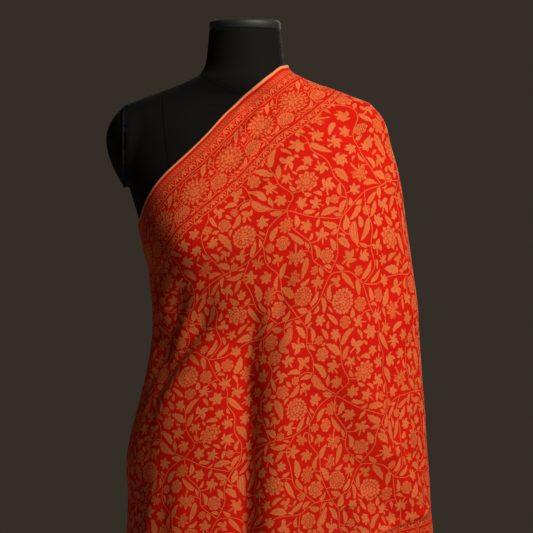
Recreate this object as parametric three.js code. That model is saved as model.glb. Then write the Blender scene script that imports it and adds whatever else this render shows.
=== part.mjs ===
// A woven stole wrapped over the left shoulder of a limbless dress form on a pole stand.
// Millimetres. The origin is the centre of the base's underside, +Z is up and the form faces -Y.
// Angles go round the form in degrees: 0 is its left side (+X), 90 its front, 180 its right, 270 its back.

import * as THREE from "three";

// Stand
const BASE_RADIUS = 170;
const BASE_THICKNESS = 8;
const BASE_EDGE_ROUND = 2;
const BOSS_RADIUS = 26;
const BOSS_TOP = 30;
const POLE_RADIUS = 14;
const POLE_FOOT = 12;
const SEAM = 0.3;
const POLE_BORE = POLE_RADIUS + SEAM;
const SOCKET_TOP = 835;
const STAND_SEGMENTS = 48;
const POLE_SEGMENTS = 24;

// Dress form
const FORM_BOTTOM = 755;
const NECK_TOP = 1486;
const NECK_RADIUS = 52;
const CAP_HEIGHT = 13.7;
const CAP_ROUND = 5;
const DISC_RADIUS = 16;
const DISC_HEIGHT = 1.6;
const FORM_COLUMNS = 40;

const TORSO = [
  { z: 755, side: 158, front: 100, back: 108, square: 2.3 },
  { z: 800, side: 165, front: 106, back: 117, square: 2.3 },
  { z: 845, side: 168, front: 108, back: 121, square: 2.3 },
  { z: 900, side: 161, front: 106, back: 113, square: 2.25 },
  { z: 960, side: 144, front: 101, back: 96, square: 2.2 },
  { z: 1010, side: 128, front: 94, back: 83, square: 2.15 },
  { z: 1050, side: 120, front: 90, back: 78, square: 2.1 },
  { z: 1100, side: 124, front: 93, back: 83, square: 2.1 },
  { z: 1150, side: 136, front: 100, back: 92, square: 2.15 },
  { z: 1196, side: 150, front: 104, back: 100, square: 2.2 },
  { z: 1226, side: 159, front: 103, back: 104, square: 2.2 },
  { z: 1255, side: 168, front: 99, back: 106, square: 2.3 },
  { z: 1290, side: 175, front: 90, back: 105, square: 2.4 },
  { z: 1330, side: 179, front: 77, back: 99, square: 2.4 },
  { z: 1358, side: 181, front: 63, back: 87, square: 2.2 },
  { z: 1374, side: 178, front: 53, back: 74, square: 1.9 },
  { z: 1386, side: 152, front: 53, back: 67, square: 1.7 },
  { z: 1398, side: 121, front: 57, back: 63, square: 1.6 },
  { z: 1406, side: 100, front: 59, back: 61, square: 1.7 },
  { z: 1414, side: 81, front: 59, back: 59, square: 1.9 },
  { z: 1424, side: 64, front: 57, back: 57, square: 2 },
  { z: 1440, side: 57, front: 55, back: 55, square: 2 },
  { z: NECK_TOP, side: NECK_RADIUS, front: NECK_RADIUS, back: NECK_RADIUS, square: 2 },
];

// Heights of the form's rings, closer together where its outline turns.
const FORM_RINGS = [
  { from: 755, to: 1120, steps: 9 },
  { from: 1120, to: 1230, steps: 7 },
  { from: 1230, to: 1350, steps: 5 },
  { from: 1350, to: 1424, steps: 8 },
  { from: 1424, to: NECK_TOP, steps: 3 },
];

const BUST = { out: 76, z: 1168, rise: 31, spread: 40, above: 46, below: 38 };

// Armhole plates and the domed caps that close them
const ARMHOLE_X = 176.3;
const ARMHOLE_FROM = 1250;
const ARMHOLE_TO = 1385;
const ARM_CAP = { z: 1325, up: 51, down: 68, back: 6, half: 52, bulge: 26.5, powerUp: 2.2, powerDown: 1.7 };
const ARM_CAP_RINGS = [0.3, 0.55, 0.76, 0.9, 0.97];
const ARM_CAP_SKIRT = { up: 0.99, down: 1.1 };
const ARM_CAP_EDGE = 1;
const ARM_CAP_SEAT = 1.5;
const ARM_CAP_SEGMENTS = 24;

// Cloth
const WALL = 1.6;
const CLEAR_OF_FORM = 2.2;
const CLEAR_OF_CAP = 4;
const MELD = 6;
const OVERLAP_LIFT = 4;
const BEND_WEIGHT = 60;
const TRACE_STEPS = 360;
const TRACE_CROWDING = 1.4;

// How far the hanging cloth stands from the pole's axis at each height.
const HANG = [
  { z: 380, left: 292, right: 205, frontLeft: 158, frontRight: 150, back: 150, square: 2.2 },
  { z: 500, left: 290, right: 196, frontLeft: 154, frontRight: 146, back: 148, square: 2.2 },
  { z: 620, left: 284, right: 186, frontLeft: 150, frontRight: 141, back: 147, square: 2.2 },
  { z: 754, left: 273, right: 174, frontLeft: 145, frontRight: 133, back: 146, square: 2.25 },
  { z: 837, left: 269, right: 167, frontLeft: 142, frontRight: 127, back: 144, square: 2.25 },
  { z: 917, left: 264, right: 158, frontLeft: 139, frontRight: 121, back: 139, square: 2.3 },
  { z: 990, left: 259, right: 146, frontLeft: 137, frontRight: 115, back: 132, square: 2.3 },
  { z: 1061, left: 254, right: 137, frontLeft: 135, frontRight: 112, back: 126, square: 2.3 },
  { z: 1132, left: 246, right: 138, frontLeft: 133, frontRight: 119, back: 122, square: 2.3 },
  { z: 1170, left: 241, right: 146, frontLeft: 131, frontRight: 126, back: 120, square: 2.3 },
  { z: 1208, left: 236, right: 151, frontLeft: 124, frontRight: 118, back: 118, square: 2.3 },
  { z: 1250, left: 230, right: 130, frontLeft: 110, frontRight: 90, back: 112, square: 2.3 },
  { z: 1295, left: 221, right: 90, frontLeft: 92, frontRight: 60, back: 104, square: 2.3 },
  { z: 1328, left: 211, right: 60, frontLeft: 80, frontRight: 40, back: 96, square: 2.2 },
  { z: 1348, left: 204, right: 50, frontLeft: 70, frontRight: 30, back: 86, square: 2.2 },
  { z: 1365, left: 193, right: 40, frontLeft: 58, frontRight: 30, back: 70, square: 2 },
  { z: 1376, left: 176, right: 30, frontLeft: 45, frontRight: 30, back: 55, square: 1.8 },
  { z: 1392, left: 130, right: 30, frontLeft: 30, frontRight: 30, back: 30, square: 1.6 },
  { z: 1436, left: 40, right: 20, frontLeft: 20, frontRight: 20, back: 20, square: 1.6 },
];
const CENTRE_FOLD_AT = 84;
const CENTRE_FOLD_BLEND = 3;

// The stole's long top edge and its hem, as heights at angles round the form.
const TOP_EDGE = [
  { at: -160, z: 1224 },
  { at: -130, z: 1312 },
  { at: -110, z: 1362 },
  { at: -90, z: 1396 },
  { at: -56, z: 1421 },
  { at: 0, z: 1435 },
  { at: 30, z: 1432 },
  { at: 56, z: 1419 },
  { at: 80, z: 1398 },
  { at: 100, z: 1380 },
  { at: 108, z: 1371 },
  { at: 116, z: 1357 },
  { at: 125, z: 1332 },
  { at: 142, z: 1283 },
  { at: 157, z: 1236 },
  { at: 165, z: 1214 },
  { at: 180, z: 1201 },
  { at: 200, z: 1190 },
  { at: 220, z: 1175 },
  { at: 240, z: 1158 },
];
const HEM = [
  { at: -160, z: 603 },
  { at: -90, z: 644 },
  { at: -30, z: 684 },
  { at: 0, z: 695 },
  { at: 30, z: 667 },
  { at: 60, z: 630 },
  { at: 90, z: 598 },
  { at: 120, z: 569 },
  { at: 150, z: 532 },
  { at: 180, z: 486 },
  { at: 210, z: 436 },
  { at: 240, z: 385 },
];

// The main folds: each runs from one angle and height to another, with a half width and a depth.
// A negative depth is a trough and a positive one a ridge.
const FOLDS = [
  { fromAt: 62, fromZ: 1105, midAt: 80, midZ: 960, toAt: 88, toZ: 590, half: 13, depth: -15 },
  { fromAt: 48, fromZ: 1090, midAt: 71, midZ: 940, toAt: 80, toZ: 600, half: 16, depth: 8 },
  { fromAt: 122, fromZ: 1120, midAt: 137, midZ: 1040, toAt: 150, toZ: 960, half: 11, depth: -8 },
  { fromAt: 113, fromZ: 1075, midAt: 124, midZ: 1000, toAt: 146, toZ: 900, half: 14, depth: -9 },
  { fromAt: 44, fromZ: 1010, midAt: 44, midZ: 880, toAt: 43, toZ: 655, half: 18, depth: -7 },
  { fromAt: 20, fromZ: 1190, midAt: 22, midZ: 960, toAt: 20, toZ: 680, half: 15, depth: -9 },
  { fromAt: 112, fromZ: 900, midAt: 116, midZ: 760, toAt: 118, toZ: 570, half: 20, depth: -8 },
  { fromAt: 158, fromZ: 1090, midAt: 160, midZ: 820, toAt: 164, toZ: 510, half: 16, depth: -9 },
  { fromAt: 186, fromZ: 1120, midAt: 192, midZ: 800, toAt: 195, toZ: 460, half: 15, depth: -8 },
  { fromAt: 222, fromZ: 1110, midAt: 219, midZ: 780, toAt: 216, toZ: 430, half: 16, depth: -9 },
  { fromAt: -28, fromZ: 1230, midAt: -31, midZ: 960, toAt: -33, toZ: 690, half: 16, depth: -10 },
  { fromAt: -58, fromZ: 1160, midAt: -61, midZ: 900, toAt: -63, toZ: 660, half: 18, depth: -10 },
  { fromAt: -88, fromZ: 1250, midAt: -90, midZ: 930, toAt: -91, toZ: 640, half: 17, depth: -8 },
  { fromAt: -118, fromZ: 1120, midAt: -115, midZ: 880, toAt: -114, toZ: 620, half: 16, depth: -9 },
];
const FOLD_FADE = 70;

// The stretches of the stole, in order from its hidden inner end to its outer end.
const STRETCHES = [
  { name: "stole_back", from: -160, to: -0.1, columns: 27, rows: 24 },
  { name: "stole_front", from: 0, to: 183, columns: 37, rows: 32 },
  { name: "stole_wrapped_end", from: 183.1, to: 240, columns: 10, rows: 22 },
];
// The outer run steps out over the inner end between these angles.
const STEP_OUT = { from: 172, to: 192 };

// Finishes
const BLACK_METAL = { color: 0x171717, roughness: 0.4, metalness: 0.6 };
const BLACK_JERSEY = { color: 0x161616, roughness: 0.9, metalness: 0 };
const BLACK_CAP = { color: 0x121212, roughness: 0.5, metalness: 0 };
const BRASS = { color: 0xb5873a, roughness: 0.35, metalness: 0.9 };
const RED_WEAVE = { color: 0xd0301c, roughness: 0.8, metalness: 0 };

const clamp = (value, low, high) => Math.min(high, Math.max(low, value));
const radians = (degrees) => (degrees * Math.PI) / 180;
const smooth = (t) => t * t * (3 - 2 * t);
const ramp = (value, from, to) => smooth(clamp((value - from) / (to - from), 0, 1));

// A monotone curve through the rows of a table: one column's value where the key column has this value.
function lookup(table, key, column, value) {
  const last = table.length - 1;
  const at = clamp(value, table[0][key], table[last][key]);
  const slope = (i) => (table[i + 1][column] - table[i][column]) / (table[i + 1][key] - table[i][key]);
  const tangent = (i) => {
    if (i === 0) return slope(0);
    if (i === last) return slope(last - 1);
    const before = slope(i - 1);
    const after = slope(i);
    return before * after > 0 ? (2 * before * after) / (before + after) : 0;
  };
  let k = 0;
  while (k < last - 1 && at > table[k + 1][key]) k += 1;
  const width = table[k + 1][key] - table[k][key];
  const t = (at - table[k][key]) / width;
  const start = table[k][column] + t * t * (3 - 2 * t) * (table[k + 1][column] - table[k][column]);
  return start + width * (tangent(k) * t * (1 - t) ** 2 + tangent(k + 1) * t * t * (t - 1));
}

// Reach of a rounded rectangle, between an ellipse and a box, in the direction (c, s).
function superellipse(c, s, side, depth, square) {
  return (Math.abs(c / side) ** square + Math.abs(s / depth) ** square) ** (-1 / square);
}

// The point at an angle and height whose distance from the axis is the reach at that angle.
function polar(angle, reach, z) {
  const r = reach(angle);
  return new THREE.Vector3(r * Math.cos(radians(angle)), -r * Math.sin(radians(angle)), z);
}

// The torso's reach from the axis at an angle and height, grown outwards by a clearance.
function torsoRadius(angle, z, grow) {
  const c = Math.cos(radians(angle));
  const s = Math.sin(radians(angle));
  const at = z - grow;
  const side = lookup(TORSO, "z", "side", at) + grow;
  const depth = lookup(TORSO, "z", s > 0 ? "front" : "back", at) + grow;
  let r = superellipse(c, s, side, depth, lookup(TORSO, "z", "square", at));
  if (s > 0) {
    const x = r * c;
    const dz = at - BUST.z;
    const tall = (dz / (dz > 0 ? BUST.above : BUST.below)) ** 2;
    for (const hand of [-1, 1]) {
      const wide = ((x - hand * BUST.out) / BUST.spread) ** 2;
      r += BUST.rise * Math.exp(-(wide + tall) / 2) * Math.sqrt(s);
    }
  }
  const plate = at > ARMHOLE_FROM && at < ARMHOLE_TO;
  return plate ? Math.min(r, (ARMHOLE_X + grow) / Math.abs(c)) : r;
}

// How far an arm cap's dome stands from the centre plane, at a share of the way from middle to rim.
function armCapReach(share, upper) {
  const power = upper ? ARM_CAP.powerUp : ARM_CAP.powerDown;
  return ARMHOLE_X + ARM_CAP.bulge * (1 - Math.min(share, 1) ** power);
}

// The arm caps' reach from the axis at an angle and height, or 0 where there is none.
function armCapRadius(angle, z, grow) {
  const c = Math.abs(Math.cos(radians(angle)));
  const s = Math.sin(radians(angle));
  if (c < 0.5) return 0;
  const dz = z - ARM_CAP.z;
  const tall = dz / ((dz > 0 ? ARM_CAP.up : ARM_CAP.down) + grow);
  let x = ARMHOLE_X;
  let share = 0;
  for (let i = 0; i < 4; i += 1) {
    const y = (-x * s) / c;
    share = Math.hypot(tall, (y - ARM_CAP.back) / (ARM_CAP.half + grow));
    x = armCapReach(share, dz > 0) + grow;
  }
  return share < 1 ? x / c : 0;
}

// The form's reach with the clearance that the cloth keeps from it.
function clearRadius(angle, z) {
  return Math.max(torsoRadius(angle, z, CLEAR_OF_FORM), armCapRadius(angle, z, CLEAR_OF_CAP));
}

// How far the folds move the hanging cloth in or out at an angle and height.
function foldDepth(angle, z, reach) {
  let total = 0;
  for (const fold of FOLDS) {
    if (z > fold.fromZ || z < fold.toZ - FOLD_FADE) continue;
    const upper = z > fold.midZ;
    const t = upper
      ? (fold.fromZ - z) / (fold.fromZ - fold.midZ)
      : (fold.midZ - z) / (fold.midZ - fold.toZ);
    const centre = upper
      ? fold.fromAt + t * (fold.midAt - fold.fromAt)
      : fold.midAt + t * (fold.toAt - fold.midAt);
    const turn = ((angle - centre + 540) % 360) - 180;
    const away = (radians(turn) * reach) / fold.half;
    const fade = ramp(z, fold.fromZ, fold.fromZ - FOLD_FADE);
    total += fold.depth * fade * Math.exp(-away * away / 2);
  }
  return total;
}

// The hanging cloth's inner face before it meets the form.
function hangRadius(angle, z) {
  const c = Math.cos(radians(angle));
  const s = Math.sin(radians(angle));
  const side = lookup(HANG, "z", c > 0 ? "left" : "right", z);
  const share = 1 / (1 + Math.exp(-(angle - CENTRE_FOLD_AT) / CENTRE_FOLD_BLEND));
  const frontLeft = lookup(HANG, "z", "frontLeft", z);
  const frontRight = lookup(HANG, "z", "frontRight", z);
  const front = frontLeft + share * (frontRight - frontLeft);
  const depth = s > 0 ? front : lookup(HANG, "z", "back", z);
  const reach = superellipse(c, s, side, depth, lookup(HANG, "z", "square", z)) - WALL;
  return reach + foldDepth(angle, z, reach);
}

// The larger of two reaches, with a soft corner between them.
function softMax(a, b) {
  const share = clamp(0.5 + (0.5 * (a - b)) / MELD, 0, 1);
  return b + (a - b) * share + MELD * share * (1 - share);
}

function stepOut(angle) {
  return OVERLAP_LIFT * ramp(angle, STEP_OUT.from, STEP_OUT.to);
}

function clothPoint(angle, z) {
  return polar(angle, () => softMax(clearRadius(angle, z), hangRadius(angle, z)), z);
}

// The direction that points out of the cloth.
function clothNormal(angle, z) {
  const turn = 0.6;
  const rise = 1.5;
  const across = clothPoint(angle + turn, z).sub(clothPoint(angle - turn, z));
  const up = clothPoint(angle, z + rise).sub(clothPoint(angle, z - rise));
  return up.cross(across).normalize();
}

// Heights down one column of the cloth, closer together where it bends.
function rowHeights(angle, rows) {
  const top = lookup(TOP_EDGE, "at", "z", angle);
  const bottom = lookup(HEM, "at", "z", angle);
  const heights = [];
  const points = [];
  for (let i = 0; i <= TRACE_STEPS; i += 1) {
    const z = top + (bottom - top) * (i / TRACE_STEPS) ** TRACE_CROWDING;
    heights.push(z);
    points.push(clothPoint(angle, z));
  }
  const measure = [0];
  for (let i = 1; i <= TRACE_STEPS; i += 1) {
    const step = points[i].clone().sub(points[i - 1]);
    const bend = i > 1 ? step.angleTo(points[i - 1].clone().sub(points[i - 2])) : 0;
    measure.push(measure[i - 1] + step.length() + BEND_WEIGHT * bend);
  }
  const out = [];
  let k = 1;
  for (let row = 0; row < rows; row += 1) {
    const goal = (measure[TRACE_STEPS] * row) / (rows - 1);
    while (k < TRACE_STEPS && measure[k] < goal) k += 1;
    const share = (goal - measure[k - 1]) / (measure[k] - measure[k - 1]);
    out.push(heights[k - 1] + share * (heights[k] - heights[k - 1]));
  }
  return out;
}

// Collects vertices and faces for one closed body.
class Body {
  constructor() {
    this.positions = [];
    this.faces = [];
  }

  point(p) {
    this.positions.push(p.x, p.y, p.z);
    return this.positions.length / 3 - 1;
  }

  row(points) {
    return points.map((p) => this.point(p));
  }

  // Four corners anticlockwise as seen from outside, split so that neighbouring quads mirror each other.
  quad(a, b, c, d, other) {
    if (other) this.faces.push(a, b, d, b, c, d);
    else this.faces.push(a, b, c, a, c, d);
  }

  // Joins two closed rows of equal length that run anticlockwise seen from above, the first the lower.
  band(lower, upper) {
    for (let i = 0; i < lower.length; i += 1) {
      const j = (i + 1) % lower.length;
      this.quad(lower[i], lower[j], upper[j], upper[i], i % 2 === 1);
    }
  }

  // Closes a row that runs anticlockwise seen from outside, round a middle point.
  fan(row, middle) {
    const centre = this.point(middle);
    row.forEach((a, i) => this.faces.push(centre, a, row[(i + 1) % row.length]));
  }

  mesh(name, finish) {
    const geometry = new THREE.BufferGeometry();
    geometry.setAttribute("position", new THREE.Float32BufferAttribute(this.positions, 3));
    geometry.setIndex(this.faces);
    geometry.computeVertexNormals();
    return named(name, geometry, finish);
  }
}

function named(name, geometry, finish) {
  const mesh = new THREE.Mesh(geometry, new THREE.MeshStandardMaterial(finish));
  mesh.name = name;
  return mesh;
}

// A turned solid whose profile runs from its lowest middle point, round the outside, to its highest.
function turned(name, profile, segments, finish) {
  const points = profile.map((p) => new THREE.Vector2(p.r, p.z));
  const geometry = new THREE.LatheGeometry(points, segments);
  geometry.rotateX(Math.PI / 2);
  return named(name, geometry, finish);
}

function makeBase() {
  const profile = [
    { r: 0, z: 0 },
    { r: BASE_RADIUS - BASE_EDGE_ROUND, z: 0 },
    { r: BASE_RADIUS, z: BASE_EDGE_ROUND },
    { r: BASE_RADIUS, z: BASE_THICKNESS - BASE_EDGE_ROUND },
    { r: BASE_RADIUS - BASE_EDGE_ROUND, z: BASE_THICKNESS },
    { r: BOSS_RADIUS, z: BASE_THICKNESS },
    { r: BOSS_RADIUS - BASE_EDGE_ROUND, z: BOSS_TOP },
    { r: POLE_BORE, z: BOSS_TOP },
    { r: POLE_BORE, z: POLE_FOOT - SEAM },
    { r: 0, z: POLE_FOOT - SEAM },
  ];
  return turned("base", profile, STAND_SEGMENTS, BLACK_METAL);
}

function makePole() {
  const profile = [
    { r: 0, z: POLE_FOOT },
    { r: POLE_RADIUS, z: POLE_FOOT },
    { r: POLE_RADIUS, z: SOCKET_TOP - SEAM },
    { r: 0, z: SOCKET_TOP - SEAM },
  ];
  return turned("pole", profile, POLE_SEGMENTS, BLACK_METAL);
}

// Heights of the form's rings, from its bottom to the top of its neck.
function formHeights() {
  const heights = [];
  for (const stretch of FORM_RINGS) {
    for (let i = 0; i < stretch.steps; i += 1) {
      heights.push(stretch.from + ((stretch.to - stretch.from) * i) / stretch.steps);
    }
  }
  heights.push(NECK_TOP);
  return heights;
}

// A level ring that runs anticlockwise seen from above, with a reach for each angle.
function ring(z, reach) {
  const points = [];
  for (let i = 0; i < FORM_COLUMNS; i += 1) points.push(polar((-360 * i) / FORM_COLUMNS, reach, z));
  return points;
}

// The torso and neck in one, with a socket for the pole in its underside.
function makeForm() {
  const body = new Body();
  const bore = () => POLE_BORE;
  const rings = [body.row(ring(SOCKET_TOP, bore)), body.row(ring(FORM_BOTTOM, bore))];
  for (const z of formHeights()) rings.push(body.row(ring(z, (angle) => torsoRadius(angle, z, 0))));
  for (let i = 1; i < rings.length; i += 1) body.band(rings[i - 1], rings[i]);
  body.fan([...rings[0]].reverse(), new THREE.Vector3(0, 0, SOCKET_TOP));
  body.fan(rings[rings.length - 1], new THREE.Vector3(0, 0, NECK_TOP));
  return body.mesh("form_body", BLACK_JERSEY);
}

function makeNeckCap() {
  const bottom = NECK_TOP + SEAM;
  const top = bottom + CAP_HEIGHT;
  const profile = [
    { r: 0, z: bottom },
    { r: NECK_RADIUS, z: bottom },
    { r: NECK_RADIUS, z: top - CAP_ROUND },
    { r: NECK_RADIUS - CAP_ROUND * 0.3, z: top - CAP_ROUND * 0.3 },
    { r: NECK_RADIUS - CAP_ROUND, z: top },
    { r: 0, z: top },
  ];
  return turned("neck_cap", profile, FORM_COLUMNS, BLACK_CAP);
}

function makeNeckDisc() {
  const bottom = NECK_TOP + SEAM + CAP_HEIGHT + SEAM;
  const profile = [
    { r: 0, z: bottom },
    { r: DISC_RADIUS, z: bottom },
    { r: DISC_RADIUS, z: bottom + DISC_HEIGHT * 0.6 },
    { r: DISC_RADIUS * 0.85, z: bottom + DISC_HEIGHT },
    { r: 0, z: bottom + DISC_HEIGHT },
  ];
  return turned("neck_disc", profile, POLE_SEGMENTS, BRASS);
}

// The torso's distance from the centre plane at a depth y and height z.
function torsoSide(y, z) {
  let x = ARMHOLE_X;
  for (let i = 0; i < 12; i += 1) {
    const angle = (Math.atan2(-y, x) * 180) / Math.PI;
    x = torsoRadius(angle, z, 0) * Math.cos(radians(angle));
  }
  return x;
}

// One arm cap: a dome that follows the torso's side underneath and slopes to it at the rim.
function makeArmCap(name, hand) {
  const body = new Body();
  const place = (x, y, z) => new THREE.Vector3(hand * x, y, z);
  const rim = (ringShare, reach) => {
    const points = [];
    for (let i = 0; i < ARM_CAP_SEGMENTS; i += 1) {
      const turn = (2 * Math.PI * i) / ARM_CAP_SEGMENTS;
      const upper = Math.sin(turn) > 0;
      const share = upper ? Math.min(ringShare, ARM_CAP_SKIRT.up) : ringShare;
      const y = ARM_CAP.back + hand * ARM_CAP.half * share * Math.cos(turn);
      const z = ARM_CAP.z + (upper ? ARM_CAP.up : ARM_CAP.down) * share * Math.sin(turn);
      points.push(place(reach(y, z, upper), y, z));
    }
    return points;
  };
  const seat = (y, z) => torsoSide(y, z) + ARM_CAP_SEAT;
  const shares = [...ARM_CAP_RINGS].reverse();
  const inner = ARM_CAP_RINGS.map((share) => body.row(rim(share, seat)));
  inner.push(body.row(rim(ARM_CAP_SKIRT.down, seat)));
  const skirt = body.row(rim(ARM_CAP_SKIRT.down, (y, z) => seat(y, z) + ARM_CAP_EDGE));
  const outer = shares.map((share) => body.row(rim(share, (y, z, upper) => armCapReach(share, upper))));
  const rings = [...inner, skirt, ...outer];
  for (let i = 1; i < rings.length; i += 1) body.band(rings[i - 1], rings[i]);
  const middle = (x) => place(x, ARM_CAP.back, ARM_CAP.z);
  body.fan([...rings[0]].reverse(), middle(seat(ARM_CAP.back, ARM_CAP.z)));
  body.fan(rings[rings.length - 1], middle(armCapReach(0, true)));
  return body.mesh(name, BLACK_JERSEY);
}

// One stretch of the stole: a wall between its inner points and the same points moved out.
function makeStretch(stretch) {
  const body = new Body();
  const inner = [];
  const outer = [];
  for (let i = 0; i < stretch.columns; i += 1) {
    const angle = stretch.from + ((stretch.to - stretch.from) * i) / (stretch.columns - 1);
    const lift = stepOut(angle);
    const heights = rowHeights(angle, stretch.rows);
    const points = heights.map((z) => clothPoint(angle, z));
    const normals = heights.map((z) => clothNormal(angle, z));
    inner.push(body.row(points.map((p, k) => p.clone().addScaledVector(normals[k], lift))));
    outer.push(body.row(points.map((p, k) => p.clone().addScaledVector(normals[k], lift + WALL))));
  }
  const lastColumn = stretch.columns - 1;
  const lastRow = stretch.rows - 1;
  for (let i = 0; i < lastColumn; i += 1) {
    for (let k = 0; k < lastRow; k += 1) {
      const other = (i + k) % 2 === 1;
      body.quad(outer[i][k], outer[i + 1][k], outer[i + 1][k + 1], outer[i][k + 1], other);
      body.quad(inner[i][k], inner[i][k + 1], inner[i + 1][k + 1], inner[i + 1][k], !other);
    }
    body.quad(inner[i][0], inner[i + 1][0], outer[i + 1][0], outer[i][0], false);
    body.quad(inner[i][lastRow], outer[i][lastRow], outer[i + 1][lastRow], inner[i + 1][lastRow], false);
  }
  for (let k = 0; k < lastRow; k += 1) {
    body.quad(inner[0][k], outer[0][k], outer[0][k + 1], inner[0][k + 1], false);
    const a = inner[lastColumn];
    const b = outer[lastColumn];
    body.quad(a[k], a[k + 1], b[k + 1], b[k], false);
  }
  return body.mesh(stretch.name, RED_WEAVE);
}

const part = new THREE.Group();
part.name = "stole_on_dress_form";
part.add(makeBase());
part.add(makePole());
part.add(makeForm());
part.add(makeArmCap("arm_cap_left", 1));
part.add(makeArmCap("arm_cap_right", -1));
part.add(makeNeckCap());
part.add(makeNeckDisc());
for (const stretch of STRETCHES) part.add(makeStretch(stretch));

export default part;
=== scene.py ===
# A woven stole wrapped over the left shoulder of a limbless black dress form on a pole stand.
import math
import random
from collections import namedtuple

import bpy
import numpy as np
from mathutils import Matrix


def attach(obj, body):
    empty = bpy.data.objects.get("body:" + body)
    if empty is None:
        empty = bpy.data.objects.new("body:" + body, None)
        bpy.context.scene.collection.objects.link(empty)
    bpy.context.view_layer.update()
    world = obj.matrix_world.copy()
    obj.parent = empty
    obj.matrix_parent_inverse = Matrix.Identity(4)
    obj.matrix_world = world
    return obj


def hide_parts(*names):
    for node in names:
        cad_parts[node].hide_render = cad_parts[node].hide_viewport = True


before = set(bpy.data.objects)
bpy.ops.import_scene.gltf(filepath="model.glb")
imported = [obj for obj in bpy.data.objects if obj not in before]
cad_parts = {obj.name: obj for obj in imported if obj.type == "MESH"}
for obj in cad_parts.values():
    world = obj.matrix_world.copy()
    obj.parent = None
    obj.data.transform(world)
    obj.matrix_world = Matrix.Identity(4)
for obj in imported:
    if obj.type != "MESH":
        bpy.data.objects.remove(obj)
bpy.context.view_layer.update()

# Sizes in millimetres, as in the solids. Angles go round the form: 0 its left, 90 its front, 180 its right.
MM = 0.001
PIECE_GAP = 0.3
CORE = 0.5

# The form
NECK_TOP = 1486
FORM_BOTTOM = 755
FOOT_ROUND = 6
POLE_HOLE = 14.4
ARMHOLE_X = 176.3
ARMHOLE_FROM, ARMHOLE_TO = 1250, 1385
NECK_LID_HEIGHT, NECK_LID_RADIUS = 14, 52
BUTTON_RADIUS, BUTTON_HEIGHT = 16, 1.9
ROOT_MELD = 14

# The stand
BASE_RADIUS, BASE_HEIGHT = 170, 8
SOCKET_RADIUS, SOCKET_TOP, SOCKET_FLOOR = 26, 30, 11.8
POLE_RADIUS, POLE_FROM, POLE_TO = 14, 12, 834.6

# The form's seams. A seam's section has points to the side and outwards.
SEAM_SECTION = [(-1.3, -0.5), (-0.8, 0.5), (0, 0.9), (0.8, 0.5), (1.3, -0.5)]
SEAM_HALF, SEAM_OUT = 0.75, 0.35
ARMHOLE_SEAM_OUT = 0.4
NECK_SEAM, NECK_SEAM_DIP = 1390, 33
SEAM_TOP, SEAM_FOOT = 1392, 790

# How far the cloth keeps from the form, and how softly it passes from one support to the next.
WALL = 1.6
CLEAR_OF_FORM = 2.2
CLEAR_OF_CAP = 4
LEAST_GAP = 1
MELD = 9
CAP_MELD = 8
CAP_BRIDGE = 1.45
RIM_SLOPE = 150
CENTRE_FOLD_AT = 84
CENTRE_FOLD_BLEND = 3
CHEST_BLEND = 13
CHEST_FROM, CHEST_TO = 980, 1150
FOLD_FADE = 70
CREASE_REACH = 200
CREASE_END = 0.35

Torso = namedtuple("Torso", "z side front back square")
TORSO = [
    Torso(755, 158, 100, 108, 2.3),
    Torso(800, 165, 106, 117, 2.3),
    Torso(845, 168, 108, 121, 2.3),
    Torso(900, 161, 106, 113, 2.25),
    Torso(960, 144, 101, 96, 2.2),
    Torso(1010, 128, 94, 83, 2.15),
    Torso(1050, 120, 90, 78, 2.1),
    Torso(1100, 124, 93, 83, 2.1),
    Torso(1150, 136, 100, 92, 2.15),
    Torso(1196, 150, 104, 100, 2.2),
    Torso(1226, 159, 103, 104, 2.2),
    Torso(1255, 168, 99, 106, 2.3),
    Torso(1290, 175, 90, 105, 2.4),
    Torso(1330, 179, 77, 99, 2.4),
    Torso(1358, 181, 63, 87, 2.2),
    Torso(1374, 178, 53, 74, 1.9),
    Torso(1386, 152, 53, 67, 1.7),
    Torso(1398, 121, 57, 63, 1.6),
    Torso(1406, 100, 59, 61, 1.7),
    Torso(1414, 81, 59, 59, 1.9),
    Torso(1424, 64, 57, 57, 2),
    Torso(1440, 57, 55, 55, 2),
    Torso(1486, 52, 52, 52, 2),
]

# The front and back seams of the cover, by height below and distance from the middle.
Princess = namedtuple("Princess", "below x")
PRINCESS = [
    Princess(-1392, 121), Princess(-1340, 116), Princess(-1282, 108), Princess(-1168, 78),
    Princess(-1050, 62), Princess(-900, 78), Princess(-790, 84),
]

Bust = namedtuple("Bust", "out z rise spread above below")
BUST = Bust(out=76, z=1168, rise=31, spread=40, above=46, below=38)

# The domed caps over the armholes. A cap's rim is tucked in by rings, each so far inside the armhole
# and at a share of its size.
ArmCap = namedtuple("ArmCap", "z up down back half bulge power_up power_down")
ARM_CAP = ArmCap(z=1325, up=51, down=68, back=6, half=52, bulge=26.5, power_up=2.2, power_down=1.7)
RIM_TUCKS = [(1.5, 0.995), (4, 0.97), (8, 0.93)]

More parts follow.
